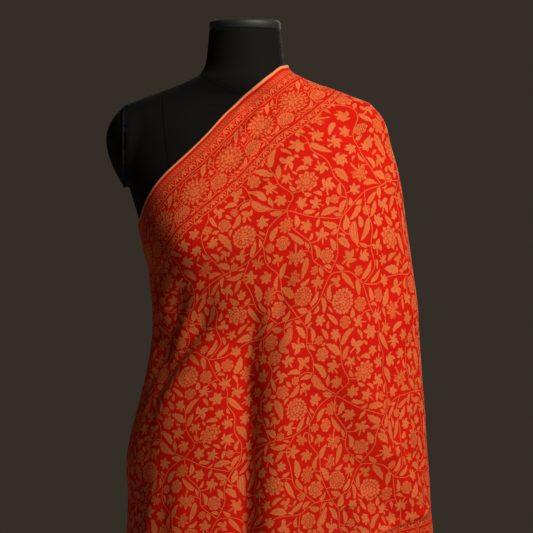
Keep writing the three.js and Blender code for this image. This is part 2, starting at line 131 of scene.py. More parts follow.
Hang = namedtuple("Hang", "z left right front_left front_right back square")
HANG = [
    Hang(380, 292, 205, 158, 150, 150, 2.2),
    Hang(500, 290, 196, 154, 146, 148, 2.2),
    Hang(620, 284, 186, 150, 141, 147, 2.2),
    Hang(754, 273, 174, 145, 133, 146, 2.25),
    Hang(837, 269, 167, 142, 127, 144, 2.25),
    Hang(917, 264, 158, 139, 121, 139, 2.3),
    Hang(990, 259, 146, 137, 115, 132, 2.3),
    Hang(1061, 254, 137, 135, 112, 126, 2.3),
    Hang(1132, 246, 138, 133, 119, 122, 2.3),
    Hang(1170, 241, 146, 131, 126, 120, 2.3),
    Hang(1208, 236, 151, 124, 118, 118, 2.3),
    Hang(1250, 230, 130, 110, 90, 112, 2.3),
    Hang(1295, 221, 90, 92, 60, 104, 2.3),
    Hang(1328, 211, 60, 80, 40, 96, 2.2),
    Hang(1348, 204, 50, 70, 30, 86, 2.2),
    Hang(1365, 193, 40, 58, 30, 70, 2),
    Hang(1376, 176, 30, 45, 30, 55, 1.8),
    Hang(1392, 130, 30, 30, 30, 30, 1.6),
    Hang(1436, 40, 20, 20, 20, 20, 1.6),
]

Edge = namedtuple("Edge", "at z")
TOP_EDGE = [
    Edge(-160, 1224), Edge(-130, 1312), Edge(-110, 1362), Edge(-90, 1396), Edge(-56, 1421),
    Edge(0, 1435), Edge(30, 1432), Edge(56, 1419), Edge(80, 1398), Edge(100, 1380),
    Edge(108, 1371), Edge(116, 1357), Edge(125, 1332), Edge(142, 1283), Edge(157, 1236),
    Edge(165, 1214), Edge(180, 1201), Edge(200, 1190), Edge(220, 1175), Edge(240, 1158),
]
HEM = [
    Edge(-160, 603), Edge(-90, 644), Edge(-30, 684), Edge(0, 695), Edge(30, 667), Edge(60, 630),
    Edge(90, 598), Edge(120, 569), Edge(150, 532), Edge(180, 486), Edge(210, 436), Edge(240, 385),
]

# Folds run from one angle and height, by a middle one, to another. A negative depth is a trough.
Fold = namedtuple("Fold", "from_at from_z mid_at mid_z to_at to_z half depth")
FOLDS = [
    Fold(81, 1120, 84, 980, 92, 600, 12, -8),
    Fold(84, 1085, 90, 820, 95, 560, 23, -8),
    Fold(64, 1090, 70, 940, 76, 600, 16, 6),
    Fold(130, 1140, 146, 1050, 163, 955, 13, -10),
    Fold(108, 1120, 127, 1050, 158, 955, 15, -12),
    Fold(44, 1010, 44, 880, 43, 655, 18, -6),
    Fold(20, 1190, 22, 960, 20, 680, 15, -8),
    Fold(112, 900, 116, 760, 118, 570, 20, -4),
    Fold(158, 1090, 160, 820, 164, 510, 16, -9),
    Fold(186, 1120, 192, 800, 195, 460, 15, -8),
    Fold(222, 1110, 219, 780, 216, 430, 16, -9),
    Fold(-28, 1230, -31, 960, -33, 690, 16, -10),
    Fold(-58, 1160, -61, 900, -63, 660, 18, -10),
    Fold(-88, 1250, -90, 930, -91, 640, 17, -8),
    Fold(-118, 1120, -115, 880, -114, 620, 16, -9),
]

# The stretches of the stole: columns and rows of the visible sheets.
Stretch = namedtuple("Stretch", "node start end columns rows")
STRETCHES = [
    Stretch("stole_back", -160, 0, 230, 290),
    Stretch("stole_front", 0, 183.05, 300, 300),
    Stretch("stole_wrapped_end", 183.05, 240, 90, 300),
]
STEP_OUT_FROM, STEP_OUT_TO, OVERLAP_LIFT = 172, 192, 4

# Small creases and ripples that only the visible cloth has, over the folds of the solids.
CREASES = [
    Fold(52, 1424, 94, 1374, 136, 1292, 10, 3.0),
    Fold(38, 1414, 82, 1350, 136, 1252, 11, 3.6),
    Fold(30, 1396, 72, 1326, 124, 1224, 10, 2.8),
    Fold(22, 1366, 60, 1284, 108, 1190, 12, 3.6),
    Fold(8, 1344, 38, 1272, 88, 1166, 12, 3.2),
    Fold(0, 1300, 26, 1226, 64, 1130, 12, 2.4),
    Fold(62, 1190, 68, 1080, 78, 960, 12, -4.5),
    Fold(36, 1030, 27, 890, 2, 690, 16, 10),
    Fold(46, 1000, 37, 870, 14, 690, 15, -6.5),
    Fold(14, 914, 20, 888, 28, 858, 7, 3.6),
    Fold(22, 828, 34, 812, 46, 790, 7, 3.2),
    Fold(6, 802, 17, 782, 31, 754, 8, 4.2),
    Fold(48, 900, 52, 820, 54, 720, 6, 1.6),
    Fold(58, 860, 61, 780, 62, 700, 6, 1.6),
    Fold(138, 900, 141, 790, 144, 560, 18, -5),
    Fold(14, 1240, 12, 950, 10, 660, 9, -4.0),
    Fold(172, 1130, 176, 900, 178, 560, 9, -3.0),
    Fold(204, 1060, 205, 800, 206, 470, 10, -4.0),
    Fold(231, 1090, 228, 800, 226, 430, 9, 3.0),
    Fold(-14, 1280, -15, 980, -16, 720, 9, 3.0),
    Fold(-44, 1240, -46, 960, -48, 690, 10, -4.0),
    Fold(-74, 1250, -76, 940, -78, 680, 10, 3.5),
    Fold(-104, 1210, -103, 930, -102, 660, 10, -3.5),
    Fold(-136, 1150, -134, 900, -133, 640, 10, -3.0),
]
Wave = namedtuple("Wave", "around down phase height")
WAVES = [Wave(5, 0.041, 0.4, 0.4), Wave(4, 0.022, 2.1, 0.5), Wave(9, 0.075, 1.2, 0.22)]

# The woven cloth, laid flat: s runs along its length to the outer end, t across its width.
WIDTH = 700
BORDER = 95
END_AT = 240
EDGE_TURN, EDGE_INSET = 1.3, 0.4
GRID_STEP, GRID_ROWS = 8, 30

# Lines across the border, measured in from the cloth's edge.
SELVEDGE = 2.5
SPRIGS_FROM, SPRIGS_TO = 6.6, 15.8
CHEVRONS_FROM, CHEVRONS_TO = 19, 27.2
BAND_FROM, BAND_TO = 30, 80.6
GUARD_FROM, GUARD_TO = 83.4, 90.4
STRIPE_LINES = [17.9, 28.2, 82.4, 91.4]
STRIPE_PERIOD = 14
LINE_HALF = 0.45
TWILL_PERIOD, WEFT_PERIOD = 2.9, 1.1

# Round motifs have petals or lobes round a middle. Their rim lies at body, and at a petal's tip
# at body + petal.
Round = namedtuple("Round", "petals body petal sharp narrow open rings veins")
# Long motifs reach from foot to tip. Their hook bends the tip aside, and their outline is a red line
# inside the rim.
Long = namedtuple("Long", "tip foot width scallop lift hook outline vein")
KINDS = {
    "chrysanthemum": Round(17, 0.86, 0.14, 0.6, 0, 9, 0.8, 0),
    "aster": Round(19, 0.7, 0.3, 1, 0, 9, 0.85, 0),
    "peony": Round(9, 0.7, 0.3, 0.8, 0, 9, 0.75, 0),
    "rosette": Round(7, 0.8, 0.2, 0.6, 0, 9, 0.7, 0),
    "palmette": Round(8, 0.62, 0.42, 0.9, 0.08, 2.3, 0.7, 0),
    "palmate": Round(5.2, 0.4, 0.62, 0.85, 0.08, 2.5, 0, 0.45),
    "trefoil": Round(3.7, 0.32, 0.72, 0.75, 0.04, 2.4, 0, 0.45),
    "lily": Round(6, 0.42, 0.6, 0.8, 0.2, 9, 0, 0.4),
    "leaf": Long(0.95, 0.7, 0.9, 0.24, 0.08, 0.5, 0, 0.5),
    "bud": Long(0.8, 0.45, 0.62, 0.05, 0, 0.2, 0, 0.35),
    "comma": Long(0.75, 0.5, 0.68, 0.12, 0.22, 0.8, 0, 0.25),
    "paisley": Long(0.75, 0.5, 0.72, 0, 0.2, 0.7, 0.8, 0.6),
}

# Motifs lie at s and t in one repeat, with half their length and width, turned from the s axis.
Motif = namedtuple("Motif", "kind s t long wide turn")
LONG_KINDS = ["leaf", "comma", "leaf", "bud", "leaf", "comma"]
ROUND_KINDS = ["palmate", "trefoil", "lily", "palmate", "trefoil", "lily", "palmette", "rosette"]

# A tile is one repeat. Gaps down to the least are filled with leaves and flowers of these half widths.
TILE_COLUMNS = "cells repeat motifs vines least leaf flower motif_at vine_at"
Tile = namedtuple("Tile", TILE_COLUMNS, defaults=(None, None))

FIELD_REPEAT = (240, 255)
FIELD_MOTIFS = [
    Motif("peony", 44, 40, 17, 13, 200),
    Motif("chrysanthemum", 150, 58, 16, 15.5, 0),
    Motif("palmette", 100, 118, 14, 13, 70),
    Motif("peony", 204, 148, 17, 13.5, 140),
    Motif("chrysanthemum", 56, 200, 16, 16, 40),
    Motif("paisley", 18, 128, 16, 8, 75),
    Motif("paisley", 142, 214, 16, 8, 215),
    Motif("paisley", 112, 36, 15, 7.5, 110),
    Motif("palmette", 214, 234, 14, 12, -35),
    Motif("chrysanthemum", 108, 172, 13, 13, 20),
    Motif("palmette", 218, 62, 14, 12, 110),
    Motif("peony", 152, 150, 12.5, 9.5, 60),
    Motif("peony", 96, 76, 11, 9, 20),
    Motif("palmate", 88, 22, 11, 10, -60),
    Motif("palmate", 168, 112, 12, 11, 160),
    Motif("palmate", 8, 232, 11, 10, 60),
    Motif("palmate", 60, 112, 11, 10, 250),
    Motif("palmate", 184, 226, 10, 9, 130),
    Motif("palmate", 38, 232, 10, 9, -20),
    Motif("lily", 190, 40, 11, 9, 200),
    Motif("lily", 76, 236, 11, 9, 100),
    Motif("lily", 222, 196, 11, 9, -50),
    Motif("rosette", 186, 20, 6.5, 6, 0),
    Motif("rosette", 128, 92, 6.5, 6, 25),
    Motif("rosette", 24, 78, 6, 6, 10),
    Motif("rosette", 100, 236, 6.5, 6, 15),
    Motif("rosette", 84, 148, 6, 5.5, 35),
    Motif("rosette", 168, 176, 6.5, 6, 5),
    Motif("rosette", 180, 86, 6, 5.5, 45),
    Motif("rosette", 24, 172, 6.5, 6, 30),
    Motif("rosette", 144, 20, 6, 5.5, 60),
    Motif("rosette", 232, 108, 6, 6, 12),
]
FIELD_VINES = [
    [(0, 92), (28, 104), (62, 84), (88, 58), (118, 66), (134, 84), (160, 92), (196, 88),
     (222, 86), (240, 92)],
    [(0, 196), (22, 190), (36, 168), (64, 160), (92, 192), (122, 196), (150, 190), (176, 200),
     (206, 192), (240, 196)],
    [(72, 0), (76, 22), (66, 48), (88, 58), (92, 84), (76, 112), (84, 134), (64, 160)],
    [(64, 160), (46, 142), (44, 120), (28, 104)],
    [(176, 200), (184, 224), (170, 246), (176, 262), (198, 276), (204, 300), (196, 343)],
    [(134, 84), (142, 108), (128, 132), (134, 158), (122, 196)],
    [(122, 196), (112, 214), (120, 238), (112, 255), (118, 278), (108, 296), (88, 313)],
    [(222, 86), (234, 108), (228, 128), (240, 150), (236, 176), (262, 190)],
    [(160, 92), (178, 108), (174, 130), (176, 158), (150, 190)],
    [(28, 104), (12, 94), (4, 70), (12, 50), (4, 28), (14, 8), (6, -12), (18, -34), (22, -65)],
]

# The border's band repeats along the edge alone, so its repeat across is far wider than the cloth.
BAND_REPEAT, BAND_CELLS = 66, 81
NO_REPEAT = 1e6
BAND_MOTIFS = [
    Motif("aster", 20, 53, 24, 17.5, 0),
    Motif("chrysanthemum", 52, 67, 13.5, 9.5, 0),
    Motif("bud", 58, 38, 9.5, 5.2, 35),
]
BAND_VINES = [
    [(0, 77), (18, 78.5), (36, 76), (46, 56), (44, 44), (52, 33), (66, 32)],
    [(0, 32), (14, 31.5), (30, 32), (44, 44)],
    [(46, 56), (60, 54), (66, 68), (66, 77)],
]
VINE_HALF = 0.52
GAP_BETWEEN = 1.3
STEM_BEND = 0.3
STALK_FROM, STALK_TO = 0.5, 7
STALK_FOOT = 0.9

# Half the length of a leaf that fills a gap, in half widths. A gap too short for a leaf gets a round motif.
LEAF_LONGEST, LEAF_SHORTEST = 2.2, 1.4
LEAF_WIDEST_SHARE, LEAF_THINNEST_SHARE = 0.62, 0.4
ROOM_FOR_FLOWER = 3


def ramp(value, start, end):
    t = np.clip((value - start) / (end - start), 0, 1)
    return t * t * (3 - 2 * t)


def lookup(table, column, value):
    """A monotone curve through one column of a table, against its first column."""
    xs = np.array([row[0] for row in table], float)
    ys = np.array([getattr(row, column) for row in table], float)
    slopes = np.diff(ys) / np.diff(xs)
    before, after = slopes[:-1], slopes[1:]
    with np.errstate(divide="ignore", invalid="ignore"):
        inner = np.where(before * after > 0, 2 * before * after / (before + after), 0)
    tangents = np.concatenate([slopes[:1], inner, slopes[-1:]])
    at = np.clip(value, xs[0], xs[-1])
    k = np.clip(np.searchsorted(xs, at) - 1, 0, len(xs) - 2)
    width = xs[k + 1] - xs[k]
    t = (at - xs[k]) / width
    start = ys[k] + t * t * (3 - 2 * t) * (ys[k + 1] - ys[k])
    return start + width * (tangents[k] * t * (1 - t) ** 2 + tangents[k + 1] * t * t * (t - 1))


def superellipse(c, s, side, depth, square):
    return (np.abs(c / side) ** square + np.abs(s / depth) ** square) ** (-1 / square)


def torso_radius(angle, z, grow):
    c, s = np.cos(np.radians(angle)), np.sin(np.radians(angle))
    at = z - grow
    side = lookup(TORSO, "side", at) + grow
    depth = np.where(s > 0, lookup(TORSO, "front", at), lookup(TORSO, "back", at)) + grow
    r = superellipse(c, s, side, depth, lookup(TORSO, "square", at))
    x, dz = r * c, at - BUST.z
    tall = (dz / np.where(dz > 0, BUST.above, BUST.below)) ** 2
    for hand in (-1, 1):
        wide = ((x - hand * BUST.out) / BUST.spread) ** 2
        r = r + BUST.rise * np.exp(-(wide + tall) / 2) * np.sqrt(np.clip(s, 0, 1))
    plate = (at > ARMHOLE_FROM) & (at < ARMHOLE_TO)
    return np.where(plate, np.minimum(r, (ARMHOLE_X + grow) / np.maximum(np.abs(c), 1e-6)), r)


def arm_cap_reach(share, upper):
    power = np.where(upper, ARM_CAP.power_up, ARM_CAP.power_down)
    return ARMHOLE_X + ARM_CAP.bulge * (1 - np.minimum(share, 1) ** power)


def arm_cap_radius(angle, z, grow, limit=1.0):
    """The dome over an armhole.

    With a limit over 1 a steep slope goes on past the rim, for cloth that bridges it."""
    c, s = np.abs(np.cos(np.radians(angle))), np.sin(np.radians(angle))
    safe = np.maximum(c, 0.5)
    dz = z - ARM_CAP.z
    tall = dz / (np.where(dz > 0, ARM_CAP.up, ARM_CAP.down) + grow)
    x = ARMHOLE_X
    for _ in range(4):
        y = -x * s / safe
        share = np.hypot(tall, (y - ARM_CAP.back) / (ARM_CAP.half + grow))
        x = arm_cap_reach(share, dz > 0) + grow
    cap = np.where((share < 1) & (c > 0.5), x / safe, 0)
    if limit == 1:
        return cap
    share = np.hypot(tall, (-ARMHOLE_X * s / safe - ARM_CAP.back) / (ARM_CAP.half + grow))
    slope = (ARMHOLE_X + grow - RIM_SLOPE * np.maximum(share - 1, 0)) / safe
    return np.where((share < limit) & (c > 0.5), np.maximum(cap, slope), cap)


def arm_root_radius(angle, z, grow):
    """The short stump under each arm cap, from the torso out to the armhole."""
    c, s = np.abs(np.cos(np.radians(angle))), np.sin(np.radians(angle))
    dz = z - ARM_CAP.z
    tall = np.minimum(np.abs(dz) / (np.where(dz > 0, ARM_CAP.up, ARM_CAP.down) + grow), 1)
    half = (ARM_CAP.half + grow) * np.sqrt(1 - tall * tall)
    wall = (half - np.sign(s) * ARM_CAP.back) / np.maximum(np.abs(s), 1e-3)
    r = np.minimum(wall, (ARMHOLE_X + grow) / np.maximum(c, 1e-3))
    return np.where((tall < 1) & (c > 0.5), np.maximum(r, 0), 0)


def melded(a, b, width):
    """The larger of two radii, with a soft corner between them."""
    share = np.clip(0.5 + 0.5 * (a - b) / width, 0, 1)
    return b + (a - b) * share + width * share * (1 - share)


def form_radius(angle, z, grow):
    """The form's cover: the torso with the stumps of the arms melded in."""
    torso, root = torso_radius(angle, z, grow), arm_root_radius(angle, z, grow)
    soft = melded(torso, root, ROOT_MELD)
    plane = (ARMHOLE_X + grow) / np.maximum(np.abs(np.cos(np.radians(angle))), 1e-6)
    near = (z - grow > ARMHOLE_FROM) & (z - grow < ARMHOLE_TO)
    return np.where(near, np.minimum(soft, np.maximum(plane, torso)), soft)


def fold_depth(angle, z, reach, folds, ends=False):
    """The sum of the folds. They fade in at their upper end, and with ends at both."""
    total = np.zeros(np.broadcast(angle, z).shape)
    for fold in folds:
        upper = z > fold.mid_z
        t_up = (fold.from_z - z) / (fold.from_z - fold.mid_z)
        t_down = (fold.mid_z - z) / (fold.mid_z - fold.to_z)
        centre_up = fold.from_at + t_up * (fold.mid_at - fold.from_at)
        centre_down = fold.mid_at + t_down * (fold.to_at - fold.mid_at)
        turn = (angle - np.where(upper, centre_up, centre_down) + 540) % 360 - 180
        away = np.radians(turn) * reach / fold.half
        fade = ramp(z, fold.from_z, fold.from_z - FOLD_FADE)
        if ends:
            soft = CREASE_END * (fold.from_z - fold.to_z)
            fade = ramp(z, fold.from_z, fold.from_z - soft) * ramp(z, fold.to_z, fold.to_z + soft)
        total = total + fold.depth * fade * np.exp(-away * away / 2)
    return total


def hang_radius(angle, z):
    c, s = np.cos(np.radians(angle)), np.sin(np.radians(angle))
    side = np.where(c > 0, lookup(HANG, "left", z), lookup(HANG, "right", z))
    blend = CENTRE_FOLD_BLEND + CHEST_BLEND * ramp(z, CHEST_FROM, CHEST_TO)
    share = 1 / (1 + np.exp(-(angle - CENTRE_FOLD_AT) / blend))
    front_left, front_right = lookup(HANG, "front_left", z), lookup(HANG, "front_right", z)
    depth = np.where(s > 0, front_left + share * (front_right - front_left), lookup(HANG, "back", z))
    reach = superellipse(c, s, side, depth, lookup(HANG, "square", z)) - WALL
    return reach + fold_depth(angle, z, reach, FOLDS)


def cloth_radius(angle, z):
    """The inner face of the cloth: what hangs and what the form holds up, with a soft corner between."""
    over_cap = arm_cap_radius(angle, z, CLEAR_OF_CAP, CAP_BRIDGE)
    form = melded(form_radius(angle, z, CLEAR_OF_FORM), over_cap, CAP_MELD)
    return melded(form, hang_radius(angle, z), MELD)


def polar(angle, r, z):
    turn = np.radians(angle)
    return np.stack([r * np.cos(turn), -r * np.sin(turn), z + 0 * r], axis=-1)


def small_relief(angle, z):
    """The visible cloth's own creases, and a faint unevenness where it hangs free."""
    total = fold_depth(angle, z, CREASE_REACH, CREASES, ends=True)
    for row in WAVES:
        total = total + row.height * np.sin(np.radians(angle) * row.around + z * row.down + row.phase)
    return total


def visible_radius(angle, z, detail):
    """The cloth with its share of small relief, which never cuts into the form."""
    form = np.maximum(form_radius(angle, z, LEAST_GAP), arm_cap_radius(angle, z, LEAST_GAP))
    return np.maximum(cloth_radius(angle, z) + detail * small_relief(angle, z), form)


def cloth_grid(angles, rows, detail):
    """Points of the cloth's inner face, in columns from the top edge to the hem, evenly spaced down each."""
    samples, crowding = 420, 1.4
    top, bottom = lookup(TOP_EDGE, "z", angles), lookup(HEM, "z", angles)
    fall = np.linspace(0, 1, samples) ** crowding
    z = top[:, None] + (bottom - top)[:, None] * fall
    points = polar(angles[:, None], visible_radius(angles[:, None], z, detail), z)
    steps = np.linalg.norm(np.diff(points, axis=1), axis=2)
    run = np.concatenate([np.zeros((len(angles), 1)), np.cumsum(steps, axis=1)], axis=1)
    share = np.linspace(0, 1, rows)
    heights = np.array([np.interp(share * run[i, -1], run[i], z[i]) for i in range(len(angles))])
    return polar(angles[:, None], visible_radius(angles[:, None], heights, detail), heights)


def grid_normals(points):
    across = np.gradient(points, axis=0)
    down = np.gradient(points, axis=1)
    n = np.cross(across, down)
    return n / np.linalg.norm(n, axis=2, keepdims=True)


def resample(grid, x, y):
    """Smooth values of a coarse grid at fractional column x and row y."""
    def weights(f):
        return np.stack([
            -0.5 * f + f**2 - 0.5 * f**3,
            1 - 2.5 * f**2 + 1.5 * f**3,
            0.5 * f + 2 * f**2 - 1.5 * f**3,
            -0.5 * f**2 + 0.5 * f**3,
        ])
    i, k = np.floor(x).astype(int), np.floor(y).astype(int)
    wx, wy = weights(x - i), weights(y - k)
    out = 0
    for a in range(4):
        for b in range(4):
            ia = np.clip(i + a - 1, 0, grid.shape[0] - 1)
            kb = np.clip(k + b - 1, 0, grid.shape[1] - 1)
            out = out + (wx[a] * wy[b])[..., None] * grid[ia, kb]
    return out


def triangle_shapes(points):
    """The triangles of a grid of points, and each triangle's own shape laid in the plane."""
    columns, rows, _ = points.shape
    i, k = np.meshgrid(np.arange(columns - 1), np.arange(rows - 1), indexing="ij")
    corner = (i * rows + k).ravel()
    triangles = np.concatenate([
        np.stack([corner, corner + rows, corner + 1], axis=1),
        np.stack([corner + rows, corner + rows + 1, corner + 1], axis=1),
    ])
    a, b, c = (points.reshape(-1, 3)[triangles[:, n]] for n in range(3))
    base = np.linalg.norm(b - a, axis=1)
    x = ((c - a) * (b - a)).sum(axis=1) / base
    y = np.linalg.norm(np.cross(b - a, c - a), axis=1) / base
    zero = np.zeros_like(base)
    shapes = np.stack([np.stack([zero, zero], 1), np.stack([base, zero], 1), np.stack([x, y], 1)], axis=1)
    return triangles, shapes


def side_weights(shapes, n):
    """How strongly the side opposite a triangle's corner n is held: the cotangent of that corner's angle."""
    least = 0.05
    u = shapes[:, (n + 1) % 3] - shapes[:, n]
    v = shapes[:, (n + 2) % 3] - shapes[:, n]
    twice_area = np.abs(u[:, 0] * v[:, 1] - u[:, 1] * v[:, 0])
    return np.maximum((u * v).sum(axis=1) / twice_area, least) / 2


def held_sides(triangles, shapes, count):
    """How strongly the triangles' sides hold the points together, and each side with its own shape."""
    hold = np.zeros((count, count))
    sides = []
    for n in range(3):
        i, j = triangles[:, (n + 1) % 3], triangles[:, (n + 2) % 3]
        weight = side_weights(shapes, n)
        for a, b in ((i, j), (j, i)):
            np.add.at(hold, (a, a), weight)
            np.add.at(hold, (a, b), -weight)
        sides.append((i, j, weight, shapes[:, (n + 1) % 3] - shapes[:, (n + 2) % 3]))
    return hold, sides


def unrolled(points, middle):
    """A first guess of the flat cloth: s along one row, t down each column."""
    columns, rows, _ = points.shape
    across = points[:, rows // 3]
    s = np.concatenate([[0], np.cumsum(np.linalg.norm(np.diff(across, axis=0), axis=1))])
    fall = np.cumsum(np.linalg.norm(np.diff(points, axis=1), axis=2), axis=1)
    t = np.concatenate([np.zeros((columns, 1)), fall], axis=1)
    return np.stack([np.repeat(s - s[middle], rows), t.ravel()], axis=1)


def fitting_turns(flat, sides, count):
    """The cosine and sine of each triangle's turn that fits it best to the plane."""
    spin = np.zeros((count, 2))
    for i, j, weight, side in sides:
        now = flat[i] - flat[j]
        spin[:, 0] += weight * (now * side).sum(axis=1)
        spin[:, 1] += weight * (now[:, 1] * side[:, 0] - now[:, 0] * side[:, 1])
    return (spin / np.linalg.norm(spin, axis=1, keepdims=True)).T


def pulls(turns, sides, count):
    """What the turned triangles together ask of each point."""
    c, n = turns
    total = np.zeros((count, 2))
    for i, j, weight, side in sides:
        turned = np.stack([c * side[:, 0] - n * side[:, 1], n * side[:, 0] + c * side[:, 1]], axis=1)
        np.add.at(total, i, turned * weight[:, None])
        np.add.at(total, j, -turned * weight[:, None])
    return total


def flatten(points, middle, rounds=40):
    """Lays a grid of cloth out flat, its top edge straight and its triangles as near their shapes as can be.

    Each round turns the triangles to fit the plane, and then moves the points to fit the triangles."""
    columns, rows, _ = points.shape
    count = columns * rows
    triangles, shapes = triangle_shapes(points)
    hold, sides = held_sides(triangles, shapes, count)
    top_edge = np.arange(columns) * rows
    free = [np.delete(np.arange(count), middle * rows), np.delete(np.arange(count), top_edge)]
    solved = [np.linalg.inv(hold[np.ix_(f, f)]) for f in free]
    flat = unrolled(points, middle)
    for _ in range(rounds):
        goal = pulls(fitting_turns(flat, sides, len(triangles)), sides, count)
        for axis in range(2):
            flat[free[axis], axis] = solved[axis] @ goal[free[axis], axis]
    return flat.reshape(columns, rows, 2)


def from_top_edge(points):
    """How far each point lies from the cloth's top edge, straight across."""
    edge = points[:, 0]
    between = [edge[:-1] + (edge[1:] - edge[:-1]) * share for share in (0, 0.25, 0.5, 0.75)]
    edge = np.concatenate(between + [edge[-1:]])
    return np.linalg.norm(points[:, :, None] - edge[None, None], axis=3).min(axis=2)


def even_width(flat, points):
    """Gives s, then t for the border and t for the field.

    The border keeps its width along the top edge and the hem. The field keeps the flat cloth's shape."""
    true_to, flat_from, slack = 100, 330, 1.01
    t = flat[..., 1]
    t = t + (from_top_edge(points) * slack - t) * (1 - ramp(t, true_to, flat_from))
    missing = WIDTH - t[:, -1:]
    spread = t + missing * ramp(t / t[:, -1:], BORDER / WIDTH, 1 - BORDER / WIDTH)
    return np.stack([flat[..., 0] - flat[-1, 0, 0], spread, flat[..., 1]], axis=-1)


# The pattern

def wrapped(distance, repeat):
    return (distance + repeat / 2) % repeat - repeat / 2


def curve(points, spacing=2.2, rounds=14):
    """A smooth line near given points, from the first to the last."""
    points = np.array(points, float)
    run = np.concatenate([[0], np.cumsum(np.linalg.norm(np.diff(points, axis=0), axis=1))])
    at = np.linspace(0, run[-1], max(3, int(run[-1] / spacing)))
    line = np.stack([np.interp(at, run, points[:, 0]), np.interp(at, run, points[:, 1])], axis=1)
    for _ in range(rounds):
        line[1:-1] = (line[:-2] + 2 * line[1:-1] + line[2:]) / 4
    return line


def cell_centres(tile):
    s, t = np.arange(tile.cells[0]) + 0.5, np.arange(tile.cells[1]) + 0.5
    return np.meshgrid(s, t, indexing="ij")


def motif_place(motif, s, t, repeat):
    """Where a point lies in a motif: 1 at its tip, and 1 at its side."""
    ds, dt = wrapped(s - motif.s, repeat[0]), wrapped(t - motif.t, repeat[1])
    c, n = math.cos(math.radians(motif.turn)), math.sin(math.radians(motif.turn))
    return (ds * c + dt * n) / motif.long, (dt * c - ds * n) / motif.wide


def motif_gap(motif, s, t, repeat):
    u, v = motif_place(motif, s, t, repeat)
    distance = np.hypot(u * motif.long, v * motif.wide)
    return distance * (1 - 1 / np.maximum(np.hypot(u, v), 1e-6))


def vine_gap(start, end, s, t, repeat):
    """The distance to one short piece of vine, and how far along it the nearest point is."""
    run = end - start
    ds, dt = wrapped(s - start[0], repeat[0]), wrapped(t - start[1], repeat[1])
    share = np.clip((ds * run[0] + dt * run[1]) / (run @ run), 0, 1)
    return np.hypot(ds - share * run[0], dt - share * run[1]), share


def nearest_vine_point(place, pieces, repeat):
    """The nearest point of the vines, given beside the place even where the repeat wraps."""
    best, found = 1e9, None
    for start, end in pieces:
        gap, share = vine_gap(start, end, place[0], place[1], repeat)
        if gap < best:
            point = start + share * (end - start)
            found = (place[0] - wrapped(place[0] - point[0], repeat[0]),
                     place[1] - wrapped(place[1] - point[1], repeat[1]))
            best = float(gap)
    return best, found


def vine_pieces(lines):
    return [(a, b) for line in lines for a, b in zip(line[:-1], line[1:])]


def stem(motif, pieces, repeat):
    """A curved stem from a flower to the nearest vine."""
    _, point = nearest_vine_point((motif.s, motif.t), pieces, repeat)
    start, end = np.array([motif.s, motif.t]), np.array(point)
    side = np.array([start[1] - end[1], end[0] - start[0]]) * STEM_BEND
    return curve([start, (start + end) / 2 + side, end])


def leaf_reach(room, centre, turn, limit, repeat):
    """How far a leaf may reach from a centre before the gap closes."""
    c, n = math.cos(turn), math.sin(turn)
    step = 0
    while step < limit:
        i = int((centre[0] + (step + 1) * c) % repeat[0]) % room.shape[0]
        k = int((centre[1] + (step + 1) * n) % repeat[1])
        if k >= room.shape[1] or room[i, k] < GAP_BETWEEN + 0.3:
            break
        step += 1
    return step


def leaf_for_gap(room, vine_room, i, k, tile, chance):
    """The leaf, bud or small flower that fills a gap best, its foot towards the nearest vine."""
    widest = chance.uniform(*tile.leaf)
    if room[i, k] > tile.leaf[1] + ROOM_FOR_FLOWER:
        widest = chance.uniform(*tile.flower)
    here = min(room[i, k] - GAP_BETWEEN, widest)
    centre = (i + 0.5, k + 0.5)
    options = []
    for degrees in range(0, 180, 15):
        turn = math.radians(degrees)
        ahead = leaf_reach(room, centre, turn, LEAF_LONGEST * here, tile.repeat)
        behind = leaf_reach(room, centre, turn + math.pi, LEAF_LONGEST * here, tile.repeat)
        options.append((ahead + behind + chance.random(), ahead, behind, degrees))
    total, ahead, behind, degrees = max(options)
    long = max(here, total / 2)
    if long < LEAF_SHORTEST * here or widest > tile.leaf[1]:
        kind = chance.choice(ROUND_KINDS)
        long = wide = min(long, 1.1 * here)
        shift = 0
    else:
        kind = chance.choice(LONG_KINDS)
        wide = max(min(here, LEAF_WIDEST_SHARE * long), LEAF_THINNEST_SHARE * long)
        shift = (ahead - behind) / 2
    turn = math.radians(degrees)
    s, t = centre[0] + shift * math.cos(turn), centre[1] + shift * math.sin(turn)
    tip_i = int((s + long * math.cos(turn)) % tile.repeat[0]) % room.shape[0]
    tip_k = min(int((t + long * math.sin(turn)) % tile.repeat[1]), room.shape[1] - 1)
    if vine_room[tip_i, tip_k] < vine_room[i, k]:
        degrees += 180
    return Motif(kind, s, t, long, wide, degrees)


def stalks(motifs, pieces, repeat):
    """Short stalks from the feet of leaves and small flowers to the nearest vine."""
    found = []
    for motif in motifs:
        turn = math.radians(motif.turn)
        back = STALK_FOOT * motif.long
        foot = (motif.s - back * math.cos(turn), motif.t - back * math.sin(turn))
        gap, point = nearest_vine_point(foot, pieces, repeat)
        if STALK_FROM < gap < STALK_TO:
            found.append((np.array(foot), np.array(point)))
    return found


